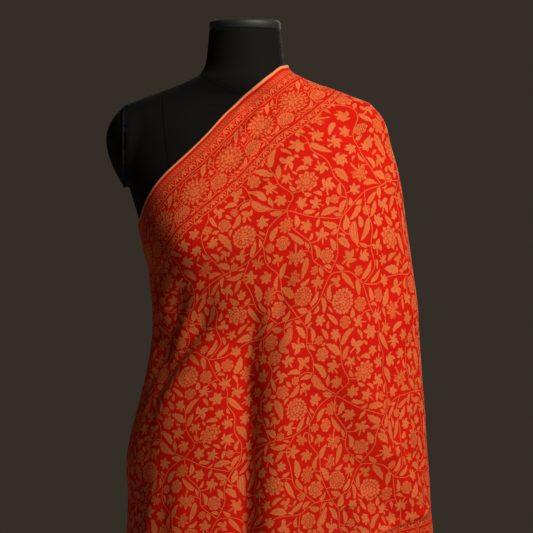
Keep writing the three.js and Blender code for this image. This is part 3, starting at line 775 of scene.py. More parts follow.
def filled(tile):
    """The tile with stems, and with leaves, buds and small flowers in its gaps, the largest gap first."""
    chance = random.Random(11)
    lines = [curve(points) for points in tile.vines]
    pieces = vine_pieces(lines)
    lines += [stem(motif, pieces, tile.repeat) for motif in tile.motifs]
    pieces = vine_pieces(lines)
    s, t = cell_centres(tile)
    vine_room = np.full(s.shape, 99.0)
    for start, end in pieces:
        vine_room = np.minimum(vine_room, vine_gap(start, end, s, t, tile.repeat)[0] - VINE_HALF)
    room = vine_room
    if tile.repeat[1] == NO_REPEAT:
        room = np.minimum(room, np.minimum(t - BAND_FROM, BAND_TO - t))
    for motif in tile.motifs:
        room = np.minimum(room, motif_gap(motif, s, t, tile.repeat))
    added = []
    while room.max() > tile.least:
        i, k = np.unravel_index(np.argmax(room), room.shape)
        added.append(leaf_for_gap(room, vine_room, i, k, tile, chance))
        room = np.minimum(room, motif_gap(added[-1], s, t, tile.repeat))
        room[i, k] = 0
    vines = pieces + stalks(added, pieces, tile.repeat)
    return with_nearest(tile._replace(motifs=tile.motifs + added, vines=vines))


def with_nearest(tile):
    """For each small cell of the repeat, which motif and which piece of vine is nearest."""
    s, t = cell_centres(tile)
    best, motif_at = np.full(s.shape, 1e9), np.zeros(s.shape, int)
    for index, motif in enumerate(tile.motifs):
        share = np.hypot(*motif_place(motif, s, t, tile.repeat))
        closer = share < best
        best[closer], motif_at[closer] = share[closer], index
    best, vine_at = np.full(s.shape, 1e9), np.zeros(s.shape, int)
    for index, (start, end) in enumerate(tile.vines):
        gap, _ = vine_gap(start, end, s, t, tile.repeat)
        closer = gap < best
        best[closer], vine_at[closer] = gap[closer], index
    return tile._replace(motif_at=motif_at, vine_at=vine_at)


def seen_from(place, corners, middle, repeat):
    """How far each corner lies from a place, round the repeat on the same side as its face's middle."""
    shift = wrapped(middle - place, np.array(repeat, float))[:, None] + corners - middle[:, None]
    return shift[..., 0], shift[..., 1]


def motif_values(tile, cell, corners, middle):
    """The place in the nearest motif, with whether it is long, its tone and its habit."""
    nearest = tile.motif_at[cell]
    table = np.array([(m.s, m.t, m.long, m.wide, math.radians(m.turn)) for m in tile.motifs])[nearest]
    long, wide, turn = table[:, 2:].T[:, :, None]
    ds, dt = seen_from(table[:, :2], corners, middle, tile.repeat)
    u = (ds * np.cos(turn) + dt * np.sin(turn)) / long
    v = (dt * np.cos(turn) - ds * np.sin(turn)) / wide
    kinds = [KINDS[m.kind] for m in tile.motifs]
    is_long = np.array([isinstance(kind, Long) for kind in kinds], float)[nearest][:, None] + 0 * u
    tone = np.sin(nearest * 12.9898)[:, None] + 0 * u
    habit = np.repeat(np.array(kinds, float)[nearest][:, None], corners.shape[1], axis=1)
    return np.concatenate([np.stack([u, v, is_long, tone], axis=-1), habit], axis=-1)


def vine_values(tile, cell, corners, middle):
    """The gap to the middle of the nearest vine, signed by its side, or a wide one past the vine's ends."""
    far, past_end = 9.0, 1.5
    start = np.array([a for a, _ in tile.vines])[tile.vine_at[cell]]
    run = np.array([b - a for a, b in tile.vines])[tile.vine_at[cell]]
    length = np.linalg.norm(run, axis=1)[:, None]
    ds, dt = seen_from(start, corners, middle, tile.repeat)
    gap = (dt * run[:, :1] - ds * run[:, 1:]) / length
    past = (ds * run[:, :1] + dt * run[:, 1:]).mean(axis=1)[:, None] / length
    return np.where((past < -past_end) | (past > length + past_end), far, gap)


def pattern_values(tile, corners):
    """At each corner of each face, its place in the nearest motif and its gap to the nearest vine."""
    middle = corners.mean(axis=1)
    i = np.floor(middle[:, 0] % tile.repeat[0]).astype(int) % tile.cells[0]
    k = np.clip(np.floor(middle[:, 1] % tile.repeat[1]).astype(int), 0, tile.cells[1] - 1)
    motif = motif_values(tile, (i, k), corners, middle)
    gap = vine_values(tile, (i, k), corners, middle)
    return np.concatenate([motif, gap[..., None]], axis=-1)


# Blender objects

def mesh_object(name, points, faces):
    mesh = bpy.data.meshes.new(name)
    mesh.from_pydata((np.asarray(points) * MM).tolist(), [], faces)
    mesh.update()
    obj = bpy.data.objects.new(name, mesh)
    bpy.context.scene.collection.objects.link(obj)
    mesh.shade_smooth()
    return obj


def corner_attribute(mesh, name, values):
    """Three numbers for each corner of each face."""
    attribute = mesh.attributes.new(name, "FLOAT_VECTOR", "CORNER")
    attribute.data.foreach_set("vector", values.astype(np.float32).ravel())


def carry(obj, material):
    """Fixes a piece to the part, with its material."""
    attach(obj, "root")
    obj.data.materials.append(material)


def dress(obj, node, material):
    """Makes a piece stand for a node of the solids."""
    carry(obj, material)
    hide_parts(node)


# The stole

def grid_faces(columns, rows, closed=False):
    across = np.arange(columns if closed else columns - 1)
    i, k = np.meshgrid(across, np.arange(rows - 1), indexing="ij")
    j = (i + 1) % columns
    faces = np.stack([i * rows + k, i * rows + k + 1, j * rows + k + 1, j * rows + k], axis=-1)
    return faces.reshape(-1, 4)


def with_turned_edges(points, normals, cloth, end):
    """Adds a narrow row turned in at the top edge, the hem and an outer end, to show the thickness."""
    def turned(edge, normal, inward):
        return edge - EDGE_TURN * normal + EDGE_INSET * inward

    top = turned(points[:, 0], normals[:, 0], points[:, 1] - points[:, 0])
    low = turned(points[:, -1], normals[:, -1], points[:, -2] - points[:, -1])
    points = np.concatenate([top[:, None], points, low[:, None]], axis=1)
    normals = np.concatenate([normals[:, :1], normals, normals[:, -1:]], axis=1)
    cloth = np.concatenate([cloth[:, :1], cloth, cloth[:, -1:]], axis=1)
    if end:
        last = turned(points[-1], normals[-1], points[-2] - points[-1])
        points = np.concatenate([points, last[None]], axis=0)
        cloth = np.concatenate([cloth, cloth[-1:]], axis=0)
    return points, cloth


def border_values(corners):
    """For each face corner, the place along the nearest edge and the distance in from it."""
    s, t, _, end_gap = np.moveaxis(corners, -1, 0)
    edges = [(s, t), (s, WIDTH - t), (t, end_gap)]
    distance = np.stack([edge[1].mean(axis=1) for edge in edges])
    nearest = distance.argmin(axis=0)
    along = np.choose(nearest[:, None], [edge[0] for edge in edges])
    inward = np.choose(nearest[:, None], [edge[1] for edge in edges])
    return np.stack([along, inward], axis=-1)


def field_place(corners):
    return np.stack([corners[..., 0], corners[..., 2] - BORDER], axis=-1)


def weave_pattern(mesh, corners, field, band):
    edge = border_values(corners)
    in_field = (edge[..., 1].mean(axis=1) > BAND_TO + 1)[:, None, None]
    field_values = pattern_values(field, field_place(corners))
    values = np.where(in_field, field_values, pattern_values(band, edge))
    corner_attribute(mesh, "motif", values[..., 0:3])
    corner_attribute(mesh, "habit_a", values[..., 4:7])
    corner_attribute(mesh, "habit_b", values[..., 7:10])
    corner_attribute(mesh, "habit_c", values[..., [10, 11, 3]])
    corner_attribute(mesh, "border", np.concatenate([edge, values[..., 12:13]], axis=-1))
    corner_attribute(mesh, "cloth", corners[..., :3])


def woven_tiles():
    field = Tile(
        cells=FIELD_REPEAT, repeat=FIELD_REPEAT,
        motifs=FIELD_MOTIFS, vines=FIELD_VINES,
        least=3.7, leaf=(4.4, 6.6), flower=(7.6, 11),
    )
    band = Tile(
        cells=(BAND_REPEAT, BAND_CELLS), repeat=(BAND_REPEAT, NO_REPEAT),
        motifs=BAND_MOTIFS, vines=BAND_VINES,
        least=1.7, leaf=(2.0, 3.0), flower=(3.6, 5),
    )
    return filled(field), filled(band)


def flat_cloth():
    """The cloth laid out flat on a coarse grid, from the first stretch's start to the outer end."""
    angles = np.arange(STRETCHES[0].start, END_AT + 1, GRID_STEP).astype(float)
    coarse = cloth_grid(angles, GRID_ROWS, 0)
    return even_width(flatten(coarse, -STRETCHES[0].start // GRID_STEP), coarse)


def sheet_surface(inner, down):
    """Points in the middle of the cloth's thickness at these angles, and the normals there."""
    gap = inner[1] - inner[0]
    at = np.concatenate([[inner[0] - gap], inner, [inner[-1] + gap]])
    points = cloth_grid(at, down, 1)
    normals = grid_normals(points)[1:-1]
    lift = WALL / 2 + OVERLAP_LIFT * ramp(inner, STEP_OUT_FROM, STEP_OUT_TO)
    return points[1:-1] + normals * lift[:, None, None], normals


def sheet_places(flat, inner, down):
    """Where each point lies in the flat cloth, and how far from its outer end."""
    x = np.repeat(((inner - STRETCHES[0].start) / GRID_STEP)[:, None], down, axis=1)
    y = np.repeat(np.linspace(0, GRID_ROWS - 1, down)[None, :], len(inner), axis=0)
    end_s = resample(flat, np.full_like(x, len(flat) - 1), y)[..., 0]
    cloth = resample(flat, x, y)
    return np.concatenate([cloth, (end_s - cloth[..., 0])[..., None]], axis=-1)


def make_sheet(stretch, flat, field, band, material):
    coarser = 1
    inner = np.linspace(stretch.start, stretch.end, stretch.columns // coarser)
    down = stretch.rows // coarser
    points, normals = sheet_surface(inner, down)
    cloth = sheet_places(flat, inner, down)
    points, cloth = with_turned_edges(points, normals, cloth, stretch.end == END_AT)
    faces = grid_faces(*points.shape[:2])
    obj = mesh_object(stretch.node + "_cloth", points.reshape(-1, 3), faces.tolist())
    weave_pattern(obj.data, cloth.reshape(-1, 4)[faces], field, band)
    dress(obj, stretch.node, material)
    width, length = WIDTH * MM, float(np.ptp(cloth[..., 0].mean(axis=1))) * MM
    area = sum(p.area for p in obj.data.polygons)
    print(stretch.node, "length", round(length / MM), "area share", round(area / (width * length), 3))


def make_sheets(material):
    flat = flat_cloth()
    field, band = woven_tiles()
    for stretch in STRETCHES:
        make_sheet(stretch, flat, field, band, material)


# Shader sums, written as ordinary sums

class Number:
    """A number at each point of a surface, worked out by shader nodes."""

    def __init__(self, socket):
        self.socket = socket
        self.tree = socket.id_data

    def __add__(self, other):
        return maths("ADD", self, other)

    def __radd__(self, other):
        return maths("ADD", other, self)

    def __sub__(self, other):
        return maths("SUBTRACT", self, other)

    def __rsub__(self, other):
        return maths("SUBTRACT", other, self)

    def __mul__(self, other):
        return maths("MULTIPLY", self, other)

    def __rmul__(self, other):
        return maths("MULTIPLY", other, self)

    def __truediv__(self, other):
        return maths("DIVIDE", self, other)

    def __abs__(self):
        return maths("ABSOLUTE", self)


def put(tree, value, slot):
    if isinstance(value, Number):
        tree.links.new(value.socket, slot)
    else:
        slot.default_value = value


def maths(operation, *values):
    tree = next(value.tree for value in values if isinstance(value, Number))
    node = tree.nodes.new("ShaderNodeMath")
    node.operation = operation
    for value, slot in zip(values, node.inputs):
        put(tree, value, slot)
    return Number(node.outputs[0])


def most(*values):
    total = values[0]
    for value in values[1:]:
        total = maths("MAXIMUM", total, value)
    return total


def rise(value, start, end):
    """0 below the start and 1 above the end, smooth between them."""
    node = value.tree.nodes.new("ShaderNodeMapRange")
    node.interpolation_type = "SMOOTHSTEP"
    put(value.tree, value, node.inputs["Value"])
    put(value.tree, start, node.inputs["From Min"])
    put(value.tree, end, node.inputs["From Max"])
    return Number(node.outputs["Result"])


def between(value, low, high, soft):
    return rise(value, low - soft, low + soft) * (1 - rise(value, high - soft, high + soft))


def wave(value):
    """A zigzag between 0 and 1 that repeats with each whole number."""
    return maths("PINGPONG", value, 0.5) * 2


def lobes(turn, count, power=1):
    """1 along the middle of each of so many pointed petals, and 0 between them."""
    shape = 1 - wave(turn * (count / (2 * math.pi)))
    return shape if power == 1 else maths("POWER", shape, power)


def parts_of(tree, vector):
    """The three numbers of a vector."""
    node = tree.nodes.new("ShaderNodeSeparateXYZ")
    tree.links.new(vector, node.inputs[0])
    return [Number(output) for output in node.outputs]


def attribute_parts(tree, name):
    node = tree.nodes.new("ShaderNodeAttribute")
    node.attribute_name = name
    return parts_of(tree, node.outputs["Vector"])


def object_place(tree):
    return tree.nodes.new("ShaderNodeTexCoord").outputs["Object"]


def blend(share, first, second):
    """A colour between two others."""
    node = share.tree.nodes.new("ShaderNodeMix")
    node.data_type = "RGBA"
    put(share.tree, share, node.inputs["Factor"])
    for name, colour in (("A", first), ("B", second)):
        slot = next(i for i in node.inputs if i.identifier == name + "_Color")
        if isinstance(colour, tuple):
            slot.default_value = (*colour, 1)
        else:
            share.tree.links.new(colour, slot)
    return next(o for o in node.outputs if o.identifier == "Result_Color")


def noise(tree, scale, detail=2):
    node = tree.nodes.new("ShaderNodeTexNoise")
    node.inputs["Scale"].default_value = scale
    node.inputs["Detail"].default_value = detail
    tree.links.new(object_place(tree), node.inputs["Vector"])
    return Number(node.outputs["Fac"])


def bump(tree, shader, height, distance):
    node = tree.nodes.new("ShaderNodeBump")
    node.inputs["Distance"].default_value = distance
    put(tree, height, node.inputs["Height"])
    tree.links.new(node.outputs["Normal"], shader.inputs["Normal"])


def new_material(name):
    material = bpy.data.materials.new(name)
    material.use_nodes = True
    return material, material.node_tree, material.node_tree.nodes["Principled BSDF"]


def set_surface(shader, colour, roughness, others=()):
    """Sets a shader's colour and roughness, and other inputs by name."""
    tree = shader.id_data
    tree.links.new(colour, shader.inputs["Base Color"])
    put(tree, roughness, shader.inputs["Roughness"])
    for name, value in others:
        shader.inputs[name].default_value = value


# The motifs of the weave: each gives its gold share, from 0 to 1, at a point of the motif

def inside(value, soft=0.05):
    return rise(value, -soft, soft)


def petals(r, turn, count, start, end):
    """Thin red lines between the petals of one ring, and round their tips."""
    tips = end * (0.9 + 0.1 * lobes(turn, count, 0.6))
    sides = inside(0.34 - lobes(turn, count), 0.12) * rise(r, start, start + 0.04) * inside(tips - r, 0.03)
    return most(sides, inside(0.045 - abs(r - tips), 0.02))


def round_motif(u, v, tone, habit):
    """Flowers and lobed leaves. Lobed leaves are swirled a little, to the side that their tone says."""
    count, body, petal, sharp, narrow, open_to, rings, veins = habit
    r = maths("SQRT", u * u + v * v)
    turn = maths("ARCTAN2", v, u)
    lobe = lobes(turn + tone * rise(veins, 0, 0.1) * (0.75 * r * r - 0.15), count)
    rim = body + petal * maths("POWER", lobe, sharp) * (1 - narrow * abs(turn))
    depth = rim * inside(open_to - abs(turn), 0.15) - r
    gaps = inside(0.22 - lobe, 0.1) * between(r, 0.7, 1, 0.02)
    eye = between(r, 0.07, 0.12, 0.02)
    inner = most(petals(r, turn + 0.1, 11, 0.44, 0.7), petals(r, turn, 7, 0.18, 0.42), eye)
    ribs = inside(lobe - 0.88, 0.05) * between(r, 0.14, 0.56, 0.04)
    stalk = inside(0.09 - abs(v), 0.04) * between(u, -1, 0, 0.05) * inside(8 - open_to)
    return most(inside(depth) * (1 - most(rings * most(gaps, inner), veins * ribs)), stalk)


def long_motif(u, v, tone, habit):
    """Leaves, buds and paisleys. Each is hooked to the side that its tone says."""
    tip, foot, width, scallop, lift, hook, outline, vein = habit
    side = rise(tone, -0.01, 0.01) * 2 - 1
    curved = v + side * (lift - hook * maths("POWER", most(u + 0.2, 0), 1.8))
    half = width * maths("POWER", most(1 - u, 0), tip) * maths("POWER", most(1 + u, 0), foot)
    depth = half * (1 - scallop * wave(u * 2.3 + 0.6)) - abs(curved)
    line = between(depth, 0.15, 0.25, 0.03) * outline
    middle = inside(0.06 - abs(curved), 0.05) * between(u, -0.8, 0.45, 0.1) * vein
    return inside(depth, 0.08) * (1 - most(line, middle))


def motif_gold(tree):
    """The gold of the flowers and leaves, and the motif's tone."""
    u, v, is_long = attribute_parts(tree, "motif")
    habit_c = attribute_parts(tree, "habit_c")
    habit = attribute_parts(tree, "habit_a") + attribute_parts(tree, "habit_b") + habit_c[:2]
    tone = habit_c[2]
    u = u + 0.34 * (noise(tree, 230) - 0.5)
    v = v + 0.34 * (noise(tree, 260) - 0.5)
    flower = round_motif(u, v, tone, habit)
    return flower + is_long * (long_motif(u, v, tone, habit) - flower), tone


def chevrons(along, across):
    """V-shaped pairs of leaves with a bud between them. Across runs from 0 to 1 over the stripe, inwards."""
    place = along / STRIPE_PERIOD
    aside = wave(place) * 0.5
    arm = 0.06 * (0.4 + wave(across)) - abs(aside - 0.05 - 0.3 * (1 - across))
    buds = 0.1 * (0.3 + wave(across * 0.8 + 0.25)) - abs(0.5 - aside) * 0.9 - 0.2 * most(across - 0.6, 0)
    drop = 0.04 - maths("POWER", across - 0.2, 2) - aside * 0.7
    return most(inside(arm, 0.02), inside(buds, 0.02), inside(drop, 0.02))


def stripe_gold(along, inward):
    """The narrow figured stripes of the border and the lines between them."""
    wide = (inward - CHEVRONS_FROM) / (CHEVRONS_TO - CHEVRONS_FROM)
    narrow = (inward - GUARD_FROM) / (GUARD_TO - GUARD_FROM)
    sprigs = (inward - SPRIGS_FROM) / (SPRIGS_TO - SPRIGS_FROM)
    row = wave(along / 5 + 0.5 * wave(sprigs * 1.5)) - 0.5 * wave(sprigs * 3)
    parts = [
        between(inward, SPRIGS_FROM, SPRIGS_TO, 0.1) * (0.16 + 0.5 * inside(row - 0.28, 0.1)),
        between(inward, CHEVRONS_FROM, CHEVRONS_TO, 0.1) * chevrons(along, wide),
        between(inward, GUARD_FROM, GUARD_TO, 0.1) * chevrons(along + 5, narrow),
    ]
    for line in STRIPE_LINES:
        parts.append(between(inward, line - LINE_HALF, line + LINE_HALF, 0.15))
    return most(*parts)


def stole_colour(tree, gold, tone, selvedge, threads):
    """Red ground, amber motifs and a paler selvedge, each darker between its threads."""
    worn = rise(noise(tree, 14, 3), 0.3, 0.7)
    mottle = 0.6 + 0.5 * rise(noise(tree, 750, 1), 0.35, 0.65)
    red = blend(worn, (0.52, 0.006, 0.001), (0.6, 0.009, 0.0015))
    red = blend(threads, (0.44, 0.004, 0.0006), red)
    amber = blend(0.5 + 0.35 * tone, (0.56, 0.155, 0.045), (0.66, 0.215, 0.078))
    amber = blend(threads * mottle, (0.5, 0.07, 0.013), amber)
    pale = blend(threads, (0.6, 0.2, 0.08), (0.7, 0.3, 0.14))
    return blend(selvedge, blend(gold, red, amber), pale)


def stole_material():
    material, tree, shader = new_material("kani_wool")
    along, inward, vine = attribute_parts(tree, "border")
    s, t, _ = attribute_parts(tree, "cloth")
    motifs, tone = motif_gold(tree)
    twill = maths("SINE", (s - t) * (2 * math.pi / TWILL_PERIOD))
    weft = maths("SINE", (s * 0.35 + t) * (2 * math.pi / WEFT_PERIOD))
    threads = 0.5 + 0.28 * twill + 0.16 * weft
    wobble = 0.12 * (noise(tree, 900) - 0.5)
    flowers = most(motifs, inside(VINE_HALF + wobble - abs(vine), 0.2) * 0.92)
    in_band = between(inward, BAND_FROM, BAND_TO, 0.1)
    in_field = rise(inward, GUARD_TO + 1.6, GUARD_TO + 2)
    gold = most(flowers * most(in_band, in_field), stripe_gold(along, inward))
    selvedge = 1 - rise(inward, SELVEDGE - 0.2, SELVEDGE + 0.2)
    set_surface(shader, stole_colour(tree, gold, tone, selvedge, threads), 0.8 - 0.1 * gold, [
        ("Specular IOR Level", 0.06),
        ("Sheen Weight", 0.03),
        ("Sheen Roughness", 0.5),
        ("Sheen Tint", (1, 0.3, 0.15, 1)),
    ])
    bump(tree, shader, threads * 0.4 + gold * 0.5, 0.00025)
    return material


# The dress form and its stand

def turned_piece(name, profile, columns=128):
    """A piece turned round the Z axis from a profile of (radius, height) points, closed at both ends."""
    turn = np.linspace(0, 2 * np.pi, columns, endpoint=False)
    radius, height = np.array(profile, float).T
    points = np.stack([
        np.cos(turn)[:, None] * radius,
        np.sin(turn)[:, None] * radius,
        height + 0 * turn[:, None],
    ], axis=-1)
    faces = grid_faces(columns, len(profile), closed=True)[:, ::-1].tolist()
    rows = len(profile)
    faces.append([i * rows for i in range(columns)][::-1])
    faces.append([i * rows + rows - 1 for i in range(columns)])
    return mesh_object(name, points.reshape(-1, 3), faces)


def rounded(radius, height, corner, steps=8):
    """Profile points of a corner rounded from a side to a top."""
    turn = np.linspace(0, math.pi / 2, steps)
    return [(radius - corner + corner * math.cos(a), height - corner + corner * math.sin(a)) for a in turn]


def foot_rings(angle):
    """Rings of the cover's underside and its rounded lower edge, from the pole's hole outwards."""
    edge = torso_radius(angle, FORM_BOTTOM + FOOT_ROUND, 0)
    rings = []
    for share in (0, 0.25, 0.5, 0.75):
        radius = POLE_HOLE + share * (edge - FOOT_ROUND - POLE_HOLE)
        rings.append(polar(angle, radius, FORM_BOTTOM))
    for share in (1, 0.85, 0.6, 0.3):
        inset = FOOT_ROUND * (1 - math.sqrt(1 - share ** 2))
        rings.append(polar(angle, edge - inset, FORM_BOTTOM + FOOT_ROUND * (1 - share)))
    return rings


def make_form_cover(material):
    columns, rows = ((300, 260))
    angle = np.linspace(0, 360, columns, endpoint=False)
    z = np.linspace(FORM_BOTTOM + FOOT_ROUND, NECK_TOP, rows)
    angles, heights = np.meshgrid(angle, z, indexing="ij")
    side = polar(angles, form_radius(angles, heights, 0), heights)
    rings = foot_rings(angle) + [side[:, k] for k in range(rows)]
    count = len(rings)
    faces = grid_faces(columns, count, closed=True)[:, ::-1].tolist()
    faces.append([i * count + count - 1 for i in range(columns)])
    obj = mesh_object("form_cover", np.stack(rings, axis=1).reshape(-1, 3), faces)
    dress(obj, "form_body", material)


def armhole_oval(x, turn, share, grow=0):
    """Points round an armhole's oval at a share of its size, so far to the side."""
    tall = np.where(np.sin(turn) >= 0, ARM_CAP.up, ARM_CAP.down)
    return np.stack([
        x + 0 * turn,
        ARM_CAP.back + (ARM_CAP.half * share + grow) * np.cos(turn),
        ARM_CAP.z + (tall * share + grow) * np.sin(turn),
    ], axis=-1)


def make_arm_cap(name, node, hand, material):
    """A padded dome that closes the armhole, its rim rounded into the seam."""
    columns = 96
    turn = np.linspace(0, 2 * np.pi, columns, endpoint=False)
    shares = np.concatenate([np.linspace(0, 0.9, 16), 1 - 0.1 * (1 - np.linspace(0, 1, 9)) ** 2])[1:]
    rings = []
    for share in shares:
        x = arm_cap_reach(np.full(columns, share), np.sin(turn) >= 0)
        rings.append(armhole_oval(hand * x, turn, share))
    for tuck, share in RIM_TUCKS:
        rings.append(armhole_oval(hand * (ARMHOLE_X - tuck), turn, share))
    count = len(rings)
    tip = columns * count
    points = np.stack(rings, axis=1).reshape(-1, 3)
    points = np.concatenate([points, [[hand * (ARMHOLE_X + ARM_CAP.bulge), ARM_CAP.back, ARM_CAP.z]]])
    fan = [[tip, i * count, (i + 1) % columns * count] for i in range(columns)]
    faces = grid_faces(columns, count, closed=True).tolist() + fan
    if hand < 0:
        faces = [face[::-1] for face in faces]
    dress(mesh_object(name, points, faces), node, material)


def make_neck(material, brass):
    top = NECK_TOP + NECK_LID_HEIGHT
    foot = NECK_TOP + PIECE_GAP
    profile = [(CORE, foot), (NECK_LID_RADIUS - 1.5, foot), (NECK_LID_RADIUS - 0.4, NECK_TOP + 1.2)]
    profile += rounded(NECK_LID_RADIUS, top, 5)
    profile += [(24, top + 0.05), (CORE, top)]
    lid = turned_piece("neck_lid", profile)
    dress(lid, "neck_cap", material)
    profile = [(CORE, top + PIECE_GAP), (BUTTON_RADIUS - 0.4, top + PIECE_GAP)]
    profile += rounded(BUTTON_RADIUS, top + BUTTON_HEIGHT - 0.2, 0.7, 5)
    profile += [(9, top + BUTTON_HEIGHT - 0.05), (CORE, top + BUTTON_HEIGHT)]
    button = turned_piece("neck_button", profile, 64)
    dress(button, "neck_disc", brass)


def make_stand(material):
    profile = [(CORE, 0), (BASE_RADIUS - 1.5, 0), (BASE_RADIUS, 1.2)]
    profile += rounded(BASE_RADIUS, BASE_HEIGHT, 2.5, 6)
    profile += [(60, BASE_HEIGHT), (SOCKET_RADIUS + 2.5, BASE_HEIGHT)]
    profile += [(SOCKET_RADIUS + 0.6, BASE_HEIGHT + 1)]
    profile += rounded(SOCKET_RADIUS, SOCKET_TOP, 2.5, 6)
    bore = POLE_RADIUS + PIECE_GAP
    profile += [(bore + 0.6, SOCKET_TOP), (bore, SOCKET_TOP - 0.6)]
    profile += [(bore, SOCKET_FLOOR), (CORE, SOCKET_FLOOR)]
    base = turned_piece("base_plate", profile, 160)
    dress(base, "base", material)
    edge = 0.6
    inner = POLE_RADIUS - edge
    profile = [(CORE, POLE_FROM), (inner, POLE_FROM), (POLE_RADIUS, POLE_FROM + edge)]
    profile += [(POLE_RADIUS, 400), (POLE_RADIUS, 780)]
    profile += [(POLE_RADIUS, POLE_TO - edge), (inner, POLE_TO), (CORE, POLE_TO)]
    pole = turned_piece("pole_tube", profile, 64)
    dress(pole, "pole", material)


def make_seam(name, line, across, outward, material):
    """A seam's section swept along a line of points."""
    rows = [line + side * across + height * outward for side, height in SEAM_SECTION]
    points = np.stack(rows, axis=1)
    faces = grid_faces(len(line), len(SEAM_SECTION))
    obj = mesh_object(name, points.reshape(-1, 3), faces.tolist())
    carry(obj, material)


def seam_strip(name, angles, heights, material):
    """A fine sewn seam that lies on the form's cover along a line of angles and heights."""
    line = polar(angles, form_radius(angles, heights, 0), heights)
    outward = polar(angles, 1 + 0 * angles, 0 * angles)
    along = np.gradient(line, axis=0)
    along /= np.linalg.norm(along, axis=1, keepdims=True)
    across = np.cross(along, outward)
    across /= np.linalg.norm(across, axis=1, keepdims=True)
    make_seam(name, line, SEAM_HALF * across, SEAM_OUT * outward, material)


def armhole_seam(name, hand, material):
    """A fine piped seam round the rim of an arm cap."""
    turn = np.linspace(0, 2 * np.pi, 121)
    outward = np.stack([0 * turn, np.cos(turn), np.sin(turn)], axis=-1)
    line = armhole_oval(hand * (ARMHOLE_X + ARMHOLE_SEAM_OUT), turn, 1, ARMHOLE_SEAM_OUT)
    make_seam(name, line, np.array([-hand, 0, 0]), outward, material)


def front_angle(x, z):
    """The angle at which the form's front reaches so far to the side."""
    angles = np.linspace(0, 180, 721)
    reach_x = form_radius(angles, np.full_like(angles, z), 0) * np.cos(np.radians(angles))
    return float(np.interp(-x, -reach_x, angles))


def make_seams(material):
    neck_at = np.linspace(0, 360, 181)
    neck_z = NECK_SEAM + NECK_SEAM_DIP * np.abs(np.cos(np.radians(neck_at))) ** 1.6
    seam_strip("seam_neck", neck_at, neck_z, material)
    for hand, name in ((-1, "right"), (1, "left")):
        z = np.linspace(SEAM_TOP, SEAM_FOOT, 90)
        x = lookup(PRINCESS, "x", -z) * hand
        at = np.array([front_angle(a, b) for a, b in zip(x, z)])
        seam_strip("seam_front_" + name, at, z, material)
        seam_strip("seam_back_" + name, 360 - at, z, material)
        armhole_seam("seam_armhole_" + name, hand, material)


def jersey_material():
    material, tree, shader = new_material("black_jersey")
    x, y, z = parts_of(tree, object_place(tree))
    around = maths("ARCTAN2", y, x)
    ribs = wave(around * 95)
    courses = wave(z * 900 + 0.5 * wave(around * 190))
    knit = ribs * 0.6 + courses * 0.4
    soft = noise(tree, 9, 3)
    # Painted light: the neck above its seam is painted lighter than the rest of the cover, standing in for
    # brighter light falling on it
    painted_light_above_seam = rise(z - 0.55 * abs(x), (NECK_SEAM - 1) * MM, (NECK_SEAM + 1) * MM)
    colour = blend(rise(soft, 0.3, 0.75), (0.0036, 0.0032, 0.0026), (0.0064, 0.0058, 0.0048))
    colour = blend(painted_light_above_seam, colour, (0.012, 0.0098, 0.0072))
    colour = blend(knit * 0.5, (0.0028, 0.0026, 0.0022), colour)
    set_surface(shader, colour, 0.72 + 0.12 * soft, [
        ("Specular IOR Level", 0.08),
        ("Sheen Weight", 0.01),
        ("Sheen Roughness", 0.45),
    ])
    bump(tree, shader, knit + 0.8 * noise(tree, 600), 0.00015)
    return material


def cap_material():
    material, tree, shader = new_material("matt_black_cap")
    grain = noise(tree, 700, 3)
    colour = blend(grain, (0.009, 0.009, 0.009), (0.016, 0.0155, 0.015))
    set_surface(shader, colour, 0.5 + 0.2 * noise(tree, 30))
    bump(tree, shader, grain, 0.0001)
    return material


def brass_material():
    material, tree, shader = new_material("brass_disc")
    smudge = noise(tree, 120, 4)
    colour = blend(smudge, (0.55, 0.3, 0.09), (0.68, 0.42, 0.15))
    set_surface(shader, colour, 0.24 + 0.2 * smudge, [("Metallic", 1)])
    bump(tree, shader, noise(tree, 800), 0.00004)
    return material


def coat_material():
    material, tree, shader = new_material("black_powder_coat")
    wear = noise(tree, 12, 4)
    colour = blend(rise(wear, 0.35, 0.75), (0.012, 0.012, 0.012), (0.028, 0.027, 0.026))
    set_surface(shader, colour, 0.36 + 0.16 * wear)
    bump(tree, shader, noise(tree, 500, 3), 0.00012)
    return material


# The stage

def make_camera():
    """The photo's view: a level camera with a long lens, in metres."""
    distance, width = 4.5, 0.778
    centre_x, centre_z = 0.0314, 1.1416
    data = bpy.data.cameras.new("camera")
    data.sensor_width = 36
    data.lens = data.sensor_width * distance / width
    camera = bpy.data.objects.new("camera", data)
    camera.location = (centre_x, -distance, centre_z)
    camera.rotation_euler = (math.radians(90), 0, 0)
    bpy.context.scene.collection.objects.link(camera)
    bpy.context.scene.camera = camera


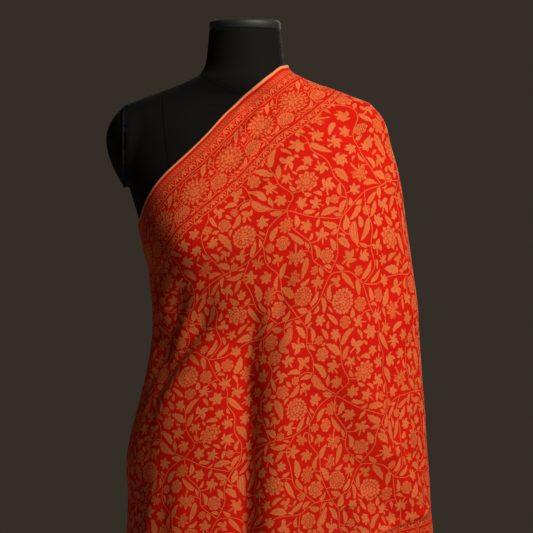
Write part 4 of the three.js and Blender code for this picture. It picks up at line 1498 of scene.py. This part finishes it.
def area_light(name, place, target, size, watts, colour, spread):
    data = bpy.data.lights.new(name, "AREA")
    data.energy = watts
    data.size = size
    data.color = colour
    data.spread = math.radians(spread)
    light = bpy.data.objects.new(name, data)
    light.location = place
    direction = np.array(target) - np.array(place)
    x, y, z = direction / np.linalg.norm(direction)
    light.rotation_euler = (math.acos(-z), 0, math.atan2(y, x) - math.pi / 2)
    bpy.context.scene.collection.objects.link(light)


def make_floor():
    radius, rim = 6 / MM, 96
    points = [(0, 0, 0)]
    for i in range(rim):
        turn = 2 * math.pi * i / rim
        points.append((radius * math.cos(turn), radius * math.sin(turn), 0))
    faces = [[0, i + 1, (i + 1) % rim + 1] for i in range(rim)]
    floor = mesh_object("floor", points, faces)
    material, tree, shader = new_material("pale_floor")
    set_surface(shader, blend(noise(tree, 3), (0.72, 0.71, 0.69), (0.76, 0.75, 0.73)), 0.8)
    floor.data.materials.append(material)


def make_world(colour, strength):
    world = bpy.data.worlds.new("world")
    world.use_nodes = True
    background = world.node_tree.nodes["Background"]
    background.inputs["Color"].default_value = (*colour, 1)
    background.inputs["Strength"].default_value = strength
    bpy.context.scene.world = world


def make_light():
    """A warm key light from above on the form's left, a faint fill, and a wide light from behind."""
    bpy.context.scene.view_settings.view_transform = "Standard"
    make_world((1, 0.8, 0.6), 0.034)
    area_light(
        "key", place=(1.65, -1.94, 2.65), target=(0, 0, 1.28), size=1.2,
        watts=19.5, colour=(1, 0.94, 0.86), spread=67,
    )
    area_light(
        "fill", place=(-2.4, -2.2, 1.6), target=(0, 0, 1.1), size=1.6,
        watts=0.1, colour=(1, 0.97, 0.94), spread=120,
    )
    area_light(
        "back", place=(0.7, 3.5, 2.1), target=(0, 0, 1), size=2.4,
        watts=26, colour=(1, 0.97, 0.94), spread=120,
    )


make_camera()
make_floor()
make_light()
jersey = jersey_material()
make_form_cover(jersey)
make_arm_cap("arm_cover_left", "arm_cap_left", 1, jersey)
make_arm_cap("arm_cover_right", "arm_cap_right", -1, jersey)
make_seams(jersey)
make_neck(cap_material(), brass_material())
make_stand(coat_material())
make_sheets(stole_material())
